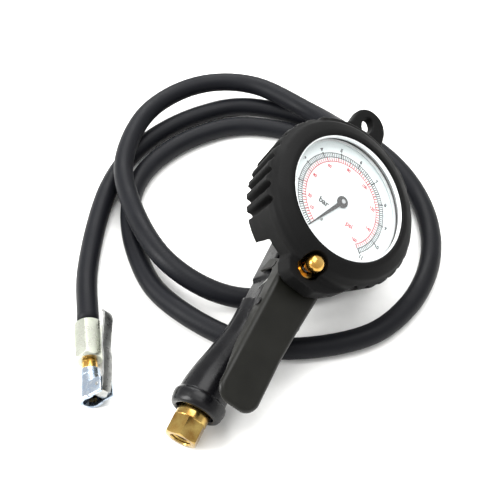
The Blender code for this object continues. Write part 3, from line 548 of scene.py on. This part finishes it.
def around_axis_tree():
    """Copies of a shape set round the z axis, from a first angle and then an even step apart."""
    tree = bpy.data.node_groups.new("Around an axis", "GeometryNodeTree")
    face = tree.interface
    face.new_socket("Shape", in_out="INPUT", socket_type="NodeSocketGeometry")
    for name, kind in (("Count", "NodeSocketInt"), ("First angle", "NodeSocketFloat"),
                       ("Step", "NodeSocketFloat"), ("Finish", "NodeSocketMaterial")):
        face.new_socket(name, in_out="INPUT", socket_type=kind)
    face.new_socket("Shape", in_out="OUTPUT", socket_type="NodeSocketGeometry")
    given = node(tree, "NodeGroupInput").outputs
    index = node(tree, "GeometryNodeInputIndex").outputs["Index"]
    angle = node(tree, "ShaderNodeMath", {0: index, 1: given["Step"], 2: given["First angle"]},
                 operation="MULTIPLY_ADD").outputs["Value"]
    spin = node(tree, "ShaderNodeCombineXYZ", {"Z": angle}).outputs["Vector"]
    spots = node(tree, "GeometryNodePoints", {"Count": given["Count"]}).outputs["Points"]
    copies = node(tree, "GeometryNodeInstanceOnPoints", {
        "Points": spots, "Instance": given["Shape"], "Rotation": spin}).outputs["Instances"]
    real = node(tree, "GeometryNodeRealizeInstances", {"Geometry": copies}).outputs["Geometry"]
    coated = node(tree, "GeometryNodeSetMaterial", {"Geometry": real, "Material": given["Finish"]})
    node(tree, "NodeGroupOutput", {"Shape": coated.outputs["Geometry"]})
    return tree


def around_axis(name, shape, place, count, first, step, material):
    """The shape repeated about its own z axis, then moved to its place as one plain mesh."""
    tree = bpy.data.node_groups.get("Around an axis") or around_axis_tree()
    made = to_object(name, shape, Matrix.Identity(4))
    copies = made.modifiers.new("Copies", "NODES")
    copies.node_group = tree
    keys = {item.name: item.identifier for item in tree.interface.items_tree if item.in_out == "INPUT"}
    copies[keys["Count"]] = count
    copies[keys["First angle"]] = math.radians(first)
    copies[keys["Step"]] = math.radians(step)
    copies[keys["Finish"]] = MATERIALS[material]
    baked(made)
    made.data.transform(moved(place))
    return made


def moved(place):
    """The same move for a mesh that is already in metres."""
    return Matrix.Translation(place.to_translation() * MM) @ place.to_quaternion().to_matrix().to_4x4()


def make_camera():
    lens = bpy.data.cameras.new("camera")
    lens.lens = 63.8
    lens.sensor_width = 36.0
    lens.dof.use_dof = False
    made = bpy.data.objects.new("camera", lens)
    made.location = (-0.0241, -0.3174, 0.4391)
    made.rotation_euler = (math.radians(40), 0, 0)
    bpy.context.scene.collection.objects.link(made)
    bpy.context.scene.camera = made


def make_hose():
    radius = sizes().hose_radius / MM
    path = smooth_route(HOSE_ROUTE, HOSE_STEP)
    sides = HOSE_SIDES
    hose = to_object("air_hose", tube(path, radius, sides), Matrix.Identity(4))
    layer = hose.data.uv_layers.new(name="UVMap")
    for face in hose.data.polygons:
        if len(face.vertices) > 4:
            continue
        ring = sorted({v // sides for v in face.vertices})
        spots = [v % sides for v in face.vertices]
        wrap = max(spots) - min(spots) > 1
        for loop, vertex in zip(face.loop_indices, face.vertices):
            spot = vertex % sides
            if wrap and spot == 0:
                spot = sides
            layer.data[loop].uv = (vertex // sides * HOSE_STEP, spot * math.tau * radius / sides)
    placed(hose, "hose_rubber", "inflator", ["hose"])
    return hose, [tuple(point * MM) for point in path]


def make_handle():
    rows = [(y, 13.2 * smooth_step((y - 8) / 48)) for y in range(5, 67, 2)]
    radii = [10.0 + 4.1 * (1 - smooth_step((y - 4) / 44)) for y, _ in rows]
    body = to_object("cast_handle", tube([(0, y, z) for y, z in rows], radii, 64), TOOL)
    foot = [(0, 9), (13.7, 9), (13.7, 7.4), (13.3, 6.7), (15.0, 5.8), (15.5, 4.4), (15.5, 2.6), (15.0, -0.4),
            (14.2, -2.2), (12.8, -3.0), (11.4, -2.8), (10.9, -2.0), (10.8, 1.0), (0, 1.0)]
    combine(body, [
        to_object("foot", lathe(foot), TOOL @ ALONG_Y),
        edged(to_object("waist", block((-7, 58, 5.2), (7, 82, 25)), TOOL), 2.0, 4),
        edged(to_object("head", block((-8.8, 78, 6.6), (8.8, 112, 25.8)), TOOL), 2.0, 4),
        edged(to_object("lug", block((-5.9, 79.2, 22), (8.8, 87.4, 35.1)), TOOL), 1.0, 3),
        to_object("valve_boss", rod(7.2, 14, 26.5), TOOL @ shift(0, VALVE_Y, 0)),
        to_object("outlet_boss", rod(8.7, 98, 116), TOOL @ shift(0, 0, OUTLET_Z) @ ALONG_Y),
        to_object("gauge_boss", rod(8.3, -44, -33.8), GAUGE @ shift(*GAUGE_STEM)),
        to_object("deflate_boss", rod(5.1, -38, -19.3), DEFLATE),
    ], "UNION")
    chamber = [(0, 29), (4.9, 29), (4.9, 17.9), (3.0, 17.9), (3.0, 15.9), (5.6, 15.9), (5.6, 1), (0, 1)]
    inlet = [(0, 24), (3.2, 24), (3.2, 15), (8.4, 15), (8.4, -1), (0, -1)]
    gauge_port = [(0, -33), (6.6, -33), (6.6, -41.5), (1.8, -41.5), (1.8, -46.4), (0, -46.4)]
    deflate_port = [(0, -15), (3.4, -15), (3.4, -30.2), (1.2, -30.2), (1.2, -47.3), (0, -47.3)]
    combine(body, [
        to_object("inlet_bore", lathe(inlet), TOOL @ ALONG_Y),
        to_object("valve_chamber", lathe(chamber), TOOL @ shift(0, VALVE_Y, 0)),
        to_object("supply_passage", rod(2.4, 0, 36), TOOL @ shift(0, 19, 1.5) @ turn("X", -76)),
        to_object("gallery", rod(1.7, VALVE_Y + 1, 110), TOOL @ shift(0, 0, 18.4) @ ALONG_Y),
        to_object("outlet_port", rod(5.9, 105, 117), TOOL @ shift(0, 0, OUTLET_Z) @ ALONG_Y),
        to_object("gauge_port", lathe(gauge_port), GAUGE @ shift(*GAUGE_STEM)),
        to_object("deflate_port", lathe(deflate_port), DEFLATE),
        to_object("left_bore", rod(2.23, -12, -3.0), TOOL @ shift(0, *PIVOT) @ ALONG_X),
        to_object("right_bore", rod(2.23, 4.8, 12), TOOL @ shift(0, *PIVOT) @ ALONG_X),
    ], "DIFFERENCE")
    softened(body, 0.5, 4)
    placed(body, "stoved_enamel", "inflator", ["handle_body"])


def lever_left(y):
    return LEVER_LEFT + (LEVER_TOP - y) * LEVER_TAPER


def lever_plan(inset):
    """The lever's outline: a rounded free end, and a right side that swings out toward the dial."""
    radius = 9.0 - inset
    low = -2.4 + inset
    left, right = lever_left(low) - inset, LEVER_RIGHT - inset
    start = [(-x, y) for x, y in arc((left - radius, low + radius), radius, 0, -90, 16)]
    end = arc((right - radius, low + radius), radius, -90, 0, 16)
    swing = [(LEVER_RIGHT + out - inset, y)
             for y, out in ((33, 0.3), (54, 2.0), (74, 4.2), (LEVER_HEAD, 4.4))]
    return [(-lever_left(LEVER_HEAD) + inset, LEVER_HEAD), *start, *end, *swing]


def make_lever():
    side = [(-4, 47), (77.9, 47), (79.4, 44.2), (82.6, 42.6), (84.6, 40.6), (85.4, 38.6), (88.9, 26),
            (89.7, 22.8), (88.8, 20.8), (83.9, 17.4), (82.2, 17.3), (81.6, 18.6), (81.5, 28.5),
            (80.4, 31.6), (77.8, 33.3), (66.5, 33.4), (63, 34.3), (60.4, 34.1), (56, 33.5), (51.6, 34.1), (47, 35.0), (30, 35.9),
            (22, 38.6), (12, 42.0), (-4, 42.0)]
    lever = edged(to_object("pressed_lever", prism(lever_plan(0), 5, 44.3), TOOL), 2.6, 6)
    combine(lever, [to_object("side", prism(side, -20, 20), TOOL @ SIDE_ON)], "INTERSECT")
    notch = [(-8.0, 82), *arc((-1.5, 81.0), 6.5, 180, 360, 24), (5.0, 82)]
    combine(lever, [
        edged(to_object("inside", prism(lever_plan(1.4), 2, 42.9), TOOL), 1.6, 4),
        to_object("notch", prism(notch, 40, 48), TOOL),
        to_object("pivot_bore", rod(2.28, -20, 20), TOOL @ shift(0, *PIVOT) @ ALONG_X),
        to_object("roller_bore", rod(1.52, -20, 20), TOOL @ shift(0, *ROLLER) @ ALONG_X),
    ], "DIFFERENCE")
    softened(lever, 0.36, 3)
    placed(lever, "lever_enamel", "lever", ["lever"])
    pin = [(0, 16.4), (2.1, 16.4), (2.5, 16.0), (2.5, 15.75), (1.5, 15.75), (1.5, -11.65), (2.5, -11.65),
           (2.5, -11.9), (2.1, -12.3), (0, -12.3)]
    riveted = to_object("riveted_pin", lathe(pin, 48), TOOL @ shift(0, *ROLLER) @ ALONG_X)
    placed(riveted, "case", "lever", ["roller_pin"], 40)
    coil = [(x, PIVOT[0] + y, PIVOT[1] + z) for z, y, x in helix(3.4, -6.6, -8.6, 2, 32)]
    path = [(-7.8, 71.0, 20.4), (-7.6, 78.6, 29.5), *coil[24:], (-8.3, 70.0, 41.6)]
    spring = to_object("return_spring", tube(path, 0.45, 12), TOOL)
    placed(spring, "steel", "inflator", ["lever_spring"])


def make_inlet():
    shell = [(9.3, -0.7), (9.3, -7.8), (8.6, -8.4), (4.0, -8.4), (4.0, 14.2), (7.6, 14.2), (8.1, 13.6),
             (8.1, -0.7)]
    fitting = to_object("inlet_brass", lathe(rounded(shell, 0.5)), TOOL @ ALONG_Y)
    collar = to_object("collar", hexagon(17.2, -19.2, -8.0), TOOL @ ALONG_Y)
    corners = [(0, -19.3), (8.6, -19.3), (9.95, -18.4), (9.95, -7.8), (0, -7.8)]
    combine(collar, [to_object("corners", lathe(rounded(corners, 0.6)), TOOL @ ALONG_Y)], "INTERSECT")
    combine(fitting, [edged(collar, 0.25, 2, 20)], "UNION")
    bore = [(0, 0), (4.0, 0), (4.0, -7.0), (5.4, -8.2)]
    for turn_number in range(7):
        level = -8.4 - 1.41 * turn_number
        bore += [(5.4, level), (6.0, level - 0.7)]
    bore += [(5.8, -18.4), (6.6, -20), (0, -20)]
    combine(fitting, [to_object("bore", lathe(bore), TOOL @ ALONG_Y)], "DIFFERENCE")
    placed(fitting, "inlet_brass", "inflator", ["inlet_fitting"], 28)


def make_deflate():
    gland = to_object("gland_nut", lathe([(3.2, -18.6), (3.2, -26), (1.4, -26), (1.4, -18.6)]), DEFLATE)
    nut = to_object("nut", hexagon(12.6, -18.9, -12.4, 30), DEFLATE)
    dome = [(0, -12.2), (6.0, -12.2), (7.2, -13.2), (7.2, -20), (0, -20)]
    combine(nut, [to_object("dome", lathe(rounded(dome, 0.5)), DEFLATE)], "INTERSECT")
    combine(gland, [edged(nut, 0.2, 2, 20)], "UNION")
    well = [(0, -12), (3.4, -12), (3.4, -17.4), (1.4, -17.4), (1.4, -20), (0, -20)]
    combine(gland, [to_object("well", lathe(well), DEFLATE)], "DIFFERENCE")
    placed(gland, "brass", "inflator", ["deflate_gland"], 28)
    cap = [(0, -0.8), (1.2, -0.85), (2.4, -1.1), (3.4, -1.55), (4.2, -2.2), (4.75, -3.0), (5.0, -4.0),
           (5.0, -7.0), (4.9, -7.5), (4.5, -8.3), (3.7, -9.3), (3.3, -10.2), (3.2, -10.8), (1.0, -10.8),
           (1.0, -26.4), (1.9, -26.4), (1.9, -26.9), (2.6, -26.9), (2.6, -27.6), (0, -27.6)]
    button = to_object("release_button", lathe(cap), DEFLATE)
    placed(button, "brass", "button", ["deflate_button"], 40)
    spring = to_object("button_spring", tube(helix(2.3, -17.0, -11.3, 4, 24), 0.3, 10), DEFLATE)
    placed(spring, "steel", "inflator", ["deflate_spring"])


def groove_shape():
    """One groove that fades in behind the boot's lip and runs out at its rear edge."""
    section = [(14, 5.4), (3.8, 2.2), (1.4, 1.4), (0.4, 0.8), (0, 0), (0.4, -0.8), (1.4, -1.4), (3.8, -2.2),
               (14, -5.4)]
    return stacked([[(depth + up, across, w) for up, across in section]
                    for w, depth in ((-4.9, 50.6), (-7.5, 45.8), (-11.0, 43.9), (-38.0, 42.2))])


def make_boot():
    shell = [(37.3, 0.1), (37.8, 0.7), (40.4, 0.4), (43.6, -0.9), (46.4, -2.3), (47.8, -4.2), (49.6, -6.0),
             (50.2, -9), (45.6, -36.2), (38.0, -36.2), (35.5, -32.4), (35.5, -29.5), (40.1, -29.5),
             (40.1, -2.0), (37.3, -2.0)]
    boot = to_object("rubber_boot", lathe(shell, 160), GAUGE)
    crown = [*arc((0, 0), 50.6, 134, 46, 40), *arc((0, 0), 44.5, 46, 134, 40)]
    tab = [(-27, 41.5), (-24, 45.5), (-19.5, 50.5), (-15.2, 55.2), (-12.8, 59.5),
           *arc((0, EYE_V), 12, 170, 10, 32), (12.8, 59.5), (15.2, 55.2), (19.5, 50.5), (24, 45.5),
           (27, 41.5)]
    chin = [(-16, -38), (-14.8, -50.5), (-12.2, -55.4), (-7, -57.6), (7.5, -57.6), (14.5, -54), (22, -47.6),
            (29.5, -38), *arc((0, 0), 41.5, -54, -112, 24)]
    combine(boot, [
        edged(to_object("crown", prism(crown, -27, -4.2), GAUGE), 2.2, 4),
        edged(to_object("tab", prism(tab, -20.2, -13.8), GAUGE), 1.6, 4),
    ], "UNION")
    pitch = math.degrees(sizes().rib_pitch)
    combine(boot, [around_axis("grooves", groove_shape(), GAUGE, count, first, pitch, "boot_rubber")
                   for count, first in ((13, -57), (11, 180 - 63))], "DIFFERENCE")
    combine(boot, [edged(to_object("chin", prism(chin, -20.8, -9.6), GAUGE), 1.8, 4)], "UNION")
    hole = [(3.9 * math.cos(math.tau * i / 48) - 1.6, EYE_V - 0.5 + 6.3 * math.sin(math.tau * i / 48))
            for i in range(48)]
    slot = [(-24.6, -26), (-24.8, -60), (24.4, -60), (24.2, -26)]
    combine(boot, [
        to_object("eye_hole", prism(hole, -30, 0), GAUGE),
        to_object("neck_slot", prism(slot, -40, -20.8), GAUGE),
        to_object("gland_recess", rod(7.7, -24, -9.4), DEFLATE),
        to_object("button_recess", rod(7.0, -9.9, 4), GAUGE @ shift(-2.0, -47.8, 0)),
    ], "DIFFERENCE")
    softened(boot, 0.62, 5)
    placed(boot, "boot_rubber", "inflator", ["gauge_boot"])


def numeral(words, height, spot, material, bold=0.0, width=1.0):
    """Generic lettering as a thin raised mesh, centred on a spot of the dial."""
    curve = bpy.data.curves.new("lettering", "FONT")
    curve.body = words
    curve.size = 1.0
    curve.align_x = "CENTER"
    curve.align_y = "CENTER"
    curve.extrude = 0.004
    curve.offset = bold
    made = bpy.data.objects.new("lettering_" + words, curve)
    bpy.context.scene.collection.objects.link(made)
    graph = bpy.context.evaluated_depsgraph_get()
    mesh = bpy.data.meshes.new_from_object(made.evaluated_get(graph))
    bpy.data.objects.remove(made)
    xs = [v.co.x for v in mesh.vertices]
    ys = [v.co.y for v in mesh.vertices]
    size = height / (max(ys) - min(ys))
    middle = shift(-(max(xs) + min(xs)) / 2, -(max(ys) + min(ys)) / 2, 0)
    fit = shift(spot[0], spot[1], DIAL_FACE + 0.03) @ Matrix.Diagonal((size * width, size, 3.0, 1.0)) @ middle
    mesh.transform(SCALE @ GAUGE @ fit)
    made = bpy.data.objects.new("lettering_" + words, mesh)
    bpy.context.scene.collection.objects.link(made)
    mesh.materials.clear()
    mesh.materials.append(MATERIALS[material])
    return made


def merged(name, pieces, body):
    """Several pieces of one finish as one mesh."""
    shape = bmesh.new()
    for piece in pieces:
        shape.from_mesh(piece.data)
    mesh = bpy.data.meshes.new(name)
    shape.to_mesh(mesh)
    shape.free()
    mesh.materials.append(pieces[0].data.materials[0])
    made = bpy.data.objects.new(name, mesh)
    bpy.context.scene.collection.objects.link(made)
    for piece in pieces:
        bpy.data.objects.remove(piece)
    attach(made, body)
    return made


def scale_angle(bars):
    return NEEDLE_REST - 90.0 - math.degrees(sizes().bar_step) * bars


def on_dial(radius, angle):
    return (radius * math.cos(math.radians(angle)), radius * math.sin(math.radians(angle)))


def tick(inner, outer, width):
    return block((inner, -width / 2, DIAL_FACE), (outer, width / 2, DIAL_FACE + INK))


def band(name, inner, outer, start, end, material):
    """A printed arc between two radii, from one angle to another."""
    steps = 180
    loops = []
    for i in range(steps + 1):
        angle = start + (end - start) * i / steps
        near, far = on_dial(inner, angle), on_dial(outer, angle)
        loops.append([(*near, DIAL_FACE), (*far, DIAL_FACE),
                      (*far, DIAL_FACE + INK), (*near, DIAL_FACE + INK)])
    made = to_object(name, stacked(loops), GAUGE)
    made.data.materials.append(MATERIALS[material])
    return made


def make_dial():
    """The dial and its two scales; the ticks are drawn coarser than real print, so that they show."""
    plate = [(37.4, -8.9), (37.4, DIAL_FACE), (1.6, DIAL_FACE), (1.6, -8.9)]
    dial = to_object("printed_dial", lathe(plate, 128), GAUGE)
    placed(dial, "dial", "inflator", ["dial_plate"], 40)
    start, step = scale_angle(0), math.degrees(sizes().bar_step)
    end = scale_angle(LAST_BAR)
    per_psi = step / PSI_PER_BAR
    black = [
        band("outer_line", 29.55, 30.0, start, end, "ink_black"),
        band("inner_line", 26.95, 27.45, start, end, "ink_black"),
        around_axis("fine_ticks", tick(27.3, 29.7, 0.5), GAUGE, 111, start, -step / 10, "ink_black"),
        around_axis("half_ticks", tick(27.3, 30.1, 0.65), GAUGE, 23, start, -step / 2, "ink_black"),
        around_axis("bar_ticks", tick(27.1, 30.6, 0.9), GAUGE, 12, start, -step, "ink_black"),
    ]
    for bars in range(1, LAST_BAR + 1):
        black.append(numeral(str(bars), 2.5, on_dial(32.4, scale_angle(bars)), "ink_black", 0.05))
    black.append(numeral("bar", 3.9, (-10.0, -7.5), "ink_black", 0.035))
    merged("bar_scale", black, "inflator")
    red = [
        band("red_inner_line", 24.35, 24.85, start, scale_angle(LAST_PSI / PSI_PER_BAR), "ink_red"),
        around_axis("psi_ticks", tick(24.7, 26.7, 0.6), GAUGE, 81, start, -2 * per_psi, "ink_red"),
        around_axis("ten_psi_ticks", tick(24.3, 27.0, 0.8), GAUGE, 17, start, -10 * per_psi, "ink_red"),
    ]
    for psi in (10, *range(20, LAST_PSI + 1, 20)):
        red.append(numeral(str(psi), 2.3, on_dial(22.0, start - per_psi * psi), "ink_red", 0.05, 0.92))
    red.append(numeral("psi", 4.0, (9.7, -9.7), "ink_red", 0.03))
    merged("psi_scale", red, "inflator")


def make_gauge():
    # The spacer ring takes the pale ring finish, a painted reflection in place of its chrome glint.
    ring = [(37.5, -6.1), (37.5, -7.9), (37.1, -7.9), (36.0, -6.1)]
    placed(to_object("bright_ring", lathe(rounded(ring, 0.12), 128), GAUGE), "ring", "inflator",
           ["spacer_ring"], 40)
    glass = [(0, -4.2), (38.3, -4.2), (38.6, -4.5), (38.6, -5.5), (38.3, -5.8), (0, -5.8)]
    placed(to_object("dial_window", lathe(glass, 128), GAUGE), "window", "inflator", ["gauge_window"],
           40)
    # The bezel takes the same pale ring finish, a painted reflection in place of chrome.
    bezel = [(39.8, -2.3), (39.8, -9.0), (39.0, -9.0), (39.0, -3.0), (36.5, -3.0), (36.5, -0.3), (37.1, -0.3),
             (37.1, -2.3)]
    placed(to_object("bezel", lathe(rounded(bezel, 0.2), 128), GAUGE), "ring", "inflator", ["bezel_ring"],
           40)


def make_needle():
    tip = sizes().needle_length / MM
    outline = [(-1.1, 2.0), (-1.25, -4), (-0.22, -tip), (0.22, -tip), (1.25, -4), (1.1, 2.0)]
    place = GAUGE @ turn("Z", NEEDLE_REST)
    needle = edged(to_object("pointer_blade", prism(outline, -7.5, -7.1), place), 0.08, 1)
    hub = [(0, -6.4), (1.5, -6.4), (1.5, -6.55), (2.6, -6.5), (3.3, -6.75), (3.6, -7.2), (3.6, -7.7),
           (0, -7.7)]
    combine(needle, [to_object("hub", lathe(hub), place)], "UNION")
    combine(needle, [to_object("hub_bore", rod(0.62, -8, -7.0), place)], "DIFFERENCE")
    placed(needle, "needle", "pointer", ["needle"], 35)
    stud = [(0, -6.28), (0.8, -6.3), (1.3, -6.38), (1.35, -6.5), (0, -6.5)]
    placed(to_object("hub_stud", lathe(stud, 48), place), "chrome", "pointer", [], 50)


def make_outlet():
    place = TOOL @ shift(0, OUTLET_Y, OUTLET_Z) @ ALONG_Y
    stem = [(0, 28), (3.2, 28), (3.2, 6.3), (5.6, 6.3), (5.6, -9.6), (0, -9.6)]
    fitting = to_object("hose_union", lathe(stem), place)
    combine(fitting, [edged(to_object("union_hex", hexagon(14, 0.4, 6.0), place), 0.4, 3)], "UNION")
    combine(fitting, [to_object("union_bore", rod(1.8, -11, 29), place)], "DIFFERENCE")
    placed(fitting, "steel", "inflator", ["outlet_fitting"], 30)
    sleeve = [(8.2, 7.4), (8.2, 11.5), (7.8, 12.2), (7.8, 14.2), (8.2, 14.9), (8.2, 18.6), (7.8, 19.3),
              (7.8, 21.3), (8.2, 22.0), (8.2, 27.6), (7.6, 28.2), (3.6, 28.2), (3.6, 6.7), (7.6, 6.7)]
    placed(to_object("crimped_sleeve", lathe(rounded(sleeve, 0.3)), place), "ferrule_zinc", "inflator",
           ["body_ferrule"], 50)


def make_chuck():
    ferrule = to_object("hex_ferrule", hexagon(15.4, 0.65, 25.9), CHUCK)
    turned_shape = [(0, 0.65), (7.9, 0.65), (8.5, 1.5), (8.5, 24.0), (7.2, 25.9), (0, 25.9)]
    combine(ferrule, [to_object("ferrule_turning", lathe(rounded(turned_shape, 0.5)), CHUCK)], "INTERSECT")
    edged(ferrule, 0.25, 2, 20)
    combine(ferrule, [to_object("ferrule_bore", rod(4.0, -1, 27), CHUCK)], "DIFFERENCE")
    placed(ferrule, "ferrule_zinc", "inflator", ["chuck_ferrule"], 25)
    stem = [(3.7, 1.5), (1.8, 1.5), (1.8, 36.5), (3.8, 36.5), (3.8, 32.0), (4.5, 31.8), (4.5, 26.6),
            (3.7, 26.3)]
    placed(to_object("brass_nipple", lathe(rounded(stem, 0.3)), CHUCK), "brass", "inflator", ["chuck_nipple"],
           40)
    shell = [(0, 32.2), (5.3, 32.2), (5.8, 32.8), (6.0, 36.6), (5.9, 37.0), (6.1, 37.4), (6.7, 51.6),
             (6.4, 52.8), (0, 52.8)]
    body = to_object("chuck_cone", lathe(rounded(shell, 0.3)), CHUCK)
    cheeks = to_object("cheeks", block((0.5, -5.6, 42.5), (12, 5.6, 52.3)), CHUCK)
    combine(body, [edged(cheeks, 0.8, 3)], "UNION")
    bore = [(0, 31), (4.0, 31), (4.0, 37.2), (1.8, 37.2), (1.8, 41.4), (4.6, 41.4), (4.6, 54), (0, 54)]
    across = CHUCK @ shift(9.3, 0, 47) @ turn("X", 90)
    combine(body, [
        to_object("clip_slot", block((2.0, -4.1, 43.5), (13, 4.1, 54)), CHUCK),
        to_object("clip_slot_back", block((7.3, -4.1, 41.5), (13, 4.1, 44)), CHUCK),
        to_object("chuck_bore", lathe(bore), CHUCK),
        to_object("pin_bore", rod(1.12, -7, 7), across),
    ], "DIFFERENCE")
    placed(edged(body, 0.15, 2, 40), "zinc", "inflator", ["chuck_body"], 35)
    path = [(5.3, 50.9), (8.2, 51.2), (10.6, 50.2), (11.6, 47.2), (12.2, 42), (13.4, 30), (12.8, 22),
            (14.2, 12), (15.6, 4), (15.4, 0.5), (14.4, -1.4)]
    lie = CHUCK @ turn("X", 90)
    clip = edged(to_object("sprung_clip", prism(strip_outline(path, 1.1), -3.7, 3.7), lie), 0.3, 3)
    ears = to_object("ears", block((7.6, -3.5, 45.2), (11.6, 3.5, 48.8)), CHUCK)
    combine(clip, [edged(ears, 0.5, 2)], "UNION")
    combine(clip, [
        to_object("clip_gap", block((6.5, -2.7, 44), (11.05, 2.7, 50.2)), CHUCK),
        to_object("clip_bore", rod(1.17, -5, 5), across),
    ], "DIFFERENCE")
    placed(clip, "steel", "clip", ["chuck_clip"], 35)
    pin = [(0, -5.9), (0.9, -5.9), (1.1, -5.7), (1.1, 5.7), (0.9, 5.9), (0, 5.9)]
    placed(to_object("clip_rivet", lathe(pin, 40), across), "steel", "inflator", ["clip_pin"], 40)


KEPT_FINISHES = {
    "lever_paint": "lever_enamel", "seal_rubber": "seal_rubber", "brass": "brass", "steel": "steel",
    "case_steel": "case", "bronze": "bronze",
}


def finish_kept_nodes():
    """The pieces that keep their own shape take the detailed finishes."""
    slots = {part["node"]: part["material_slot"] for part in frame["record"]["subparts"]}
    for name, obj in frame["nodes"].items():
        if not obj.hide_render:
            obj.data.materials.clear()
            obj.data.materials.append(MATERIALS[KEPT_FINISHES[slots[name]]])


def area_light(name, place, aim, size, power, tint="#ffffff"):
    light = bpy.data.lights.new(name, "AREA")
    light.shape = "RECTANGLE"
    light.size, light.size_y = size
    light.energy = power
    light.color = linear(tint)[:3]
    made = bpy.data.objects.new(name, light)
    made.location = place
    made.rotation_euler = (Vector(aim) - Vector(place)).to_track_quat("-Z", "Y").to_euler()
    bpy.context.scene.collection.objects.link(made)


def make_stage():
    mesh = bpy.data.meshes.new("bench")
    shape = bmesh.new()
    bmesh.ops.create_grid(shape, x_segments=2, y_segments=2, size=3.0)
    shape.to_mesh(mesh)
    shape.free()
    mesh.materials.append(MATERIALS["bench"])
    bench = bpy.data.objects.new("bench", mesh)
    bpy.context.scene.collection.objects.link(bench)
    world = bpy.data.worlds.new("studio")
    bpy.context.scene.world = world
    world.use_nodes = True
    sky = world.node_tree.nodes["Background"]
    sky.inputs["Color"].default_value = linear("#ffffff")
    sky.inputs["Strength"].default_value = 0.95
    bpy.context.scene.view_settings.view_transform = "Standard"
    area_light("overhead_box", (0.1, 0.15, 1.1), (0, 0, 0), (0.9, 0.9), 14)
    area_light("left_box", (-0.9, -0.2, 0.6), (0, 0, 0.03), (0.4, 0.7), 15)
    area_light("back_box", (-0.15, 0.95, 0.75), (0, 0, 0.03), (0.8, 0.35), 8)


class INFLATOR_OT_camera(bpy.types.Operator):
    """Camera that looks down at the tool from its inlet end"""

    bl_idname = "inflator.camera"
    bl_label = "Camera"

    def execute(self, context):
        make_camera()
        return {"FINISHED"}


class INFLATOR_OT_finishes(bpy.types.Operator):
    """Every material that the pieces share"""

    bl_idname = "inflator.finishes"
    bl_label = "Finishes"

    def execute(self, context):
        make_materials()
        return {"FINISHED"}


class INFLATOR_OT_hose(bpy.types.Operator):
    """Rubber hose in its loose coil, with the chuck on its free end"""

    bl_idname = "inflator.hose"
    bl_label = "Hose and chuck"

    def execute(self, context):
        hose, path = make_hose()
        make_chuck()
        return {"FINISHED"}


class INFLATOR_OT_handle(bpy.types.Operator):
    """Cast handle with its foot, grip and head"""

    bl_idname = "inflator.handle"
    bl_label = "Handle"

    def execute(self, context):
        make_handle()
        return {"FINISHED"}


class INFLATOR_OT_lever(bpy.types.Operator):
    """Pressed lever with its pin and return spring"""

    bl_idname = "inflator.lever"
    bl_label = "Lever"

    def execute(self, context):
        make_lever()
        return {"FINISHED"}


class INFLATOR_OT_fittings(bpy.types.Operator):
    """Brass inlet, hose union and crimped sleeve"""

    bl_idname = "inflator.fittings"
    bl_label = "Fittings"

    def execute(self, context):
        make_inlet()
        make_outlet()
        return {"FINISHED"}


class INFLATOR_OT_release(bpy.types.Operator):
    """Release button in its gland nut"""

    bl_idname = "inflator.release"
    bl_label = "Release button"

    def execute(self, context):
        make_deflate()
        return {"FINISHED"}


class INFLATOR_OT_boot(bpy.types.Operator):
    """Ribbed rubber boot round the gauge"""

    bl_idname = "inflator.boot"
    bl_label = "Boot"

    def execute(self, context):
        make_boot()
        return {"FINISHED"}


class INFLATOR_OT_gauge(bpy.types.Operator):
    """Window, bright ring, printed dial and needle"""

    bl_idname = "inflator.gauge"
    bl_label = "Gauge"

    def execute(self, context):
        make_gauge()
        make_dial()
        make_needle()
        return {"FINISHED"}


class INFLATOR_OT_kept(bpy.types.Operator):
    """Detailed finishes on the pieces that keep their own shape"""

    bl_idname = "inflator.kept"
    bl_label = "Inner pieces"

    def execute(self, context):
        finish_kept_nodes()
        return {"FINISHED"}


class INFLATOR_OT_stage(bpy.types.Operator):
    """Pale bench and soft studio light"""

    bl_idname = "inflator.stage"
    bl_label = "Bench and lights"

    def execute(self, context):
        make_stage()
        return {"FINISHED"}


STEPS = (INFLATOR_OT_camera, INFLATOR_OT_finishes, INFLATOR_OT_hose, INFLATOR_OT_handle, INFLATOR_OT_lever,
         INFLATOR_OT_fittings, INFLATOR_OT_release, INFLATOR_OT_boot, INFLATOR_OT_gauge, INFLATOR_OT_kept,
         INFLATOR_OT_stage)


class INFLATOR_PT_panel(bpy.types.Panel):
    """Lists the tool's sizes, colours and pieces"""

    bl_idname = "INFLATOR_PT_panel"
    bl_label = "Tyre inflator"
    bl_space_type = "VIEW_3D"
    bl_region_type = "UI"
    bl_category = "Inflator"

    def draw(self, context):
        layout = self.layout
        for group in (context.scene.inflator_sizes, context.scene.inflator_colours):
            for name in group.bl_rna.properties.keys():
                if name not in ("rna_type", "name"):
                    layout.prop(group, name)
        for step in STEPS:
            layout.operator(step.bl_idname)


CLASSES = (InflatorSizes, InflatorColours, *STEPS, INFLATOR_PT_panel)


def register():
    for made in CLASSES:
        bpy.utils.register_class(made)
    bpy.types.Scene.inflator_sizes = bpy.props.PointerProperty(type=InflatorSizes)
    bpy.types.Scene.inflator_colours = bpy.props.PointerProperty(type=InflatorColours)


def unregister():
    del bpy.types.Scene.inflator_colours
    del bpy.types.Scene.inflator_sizes
    for made in reversed(CLASSES):
        bpy.utils.unregister_class(made)


def main():
    register()
    for step in ("camera", "finishes", "hose", "handle", "lever", "fittings", "release", "boot", "gauge",
                 "kept", "stage"):
        getattr(bpy.ops.inflator, step)()


if __name__ == "__main__":
    main()
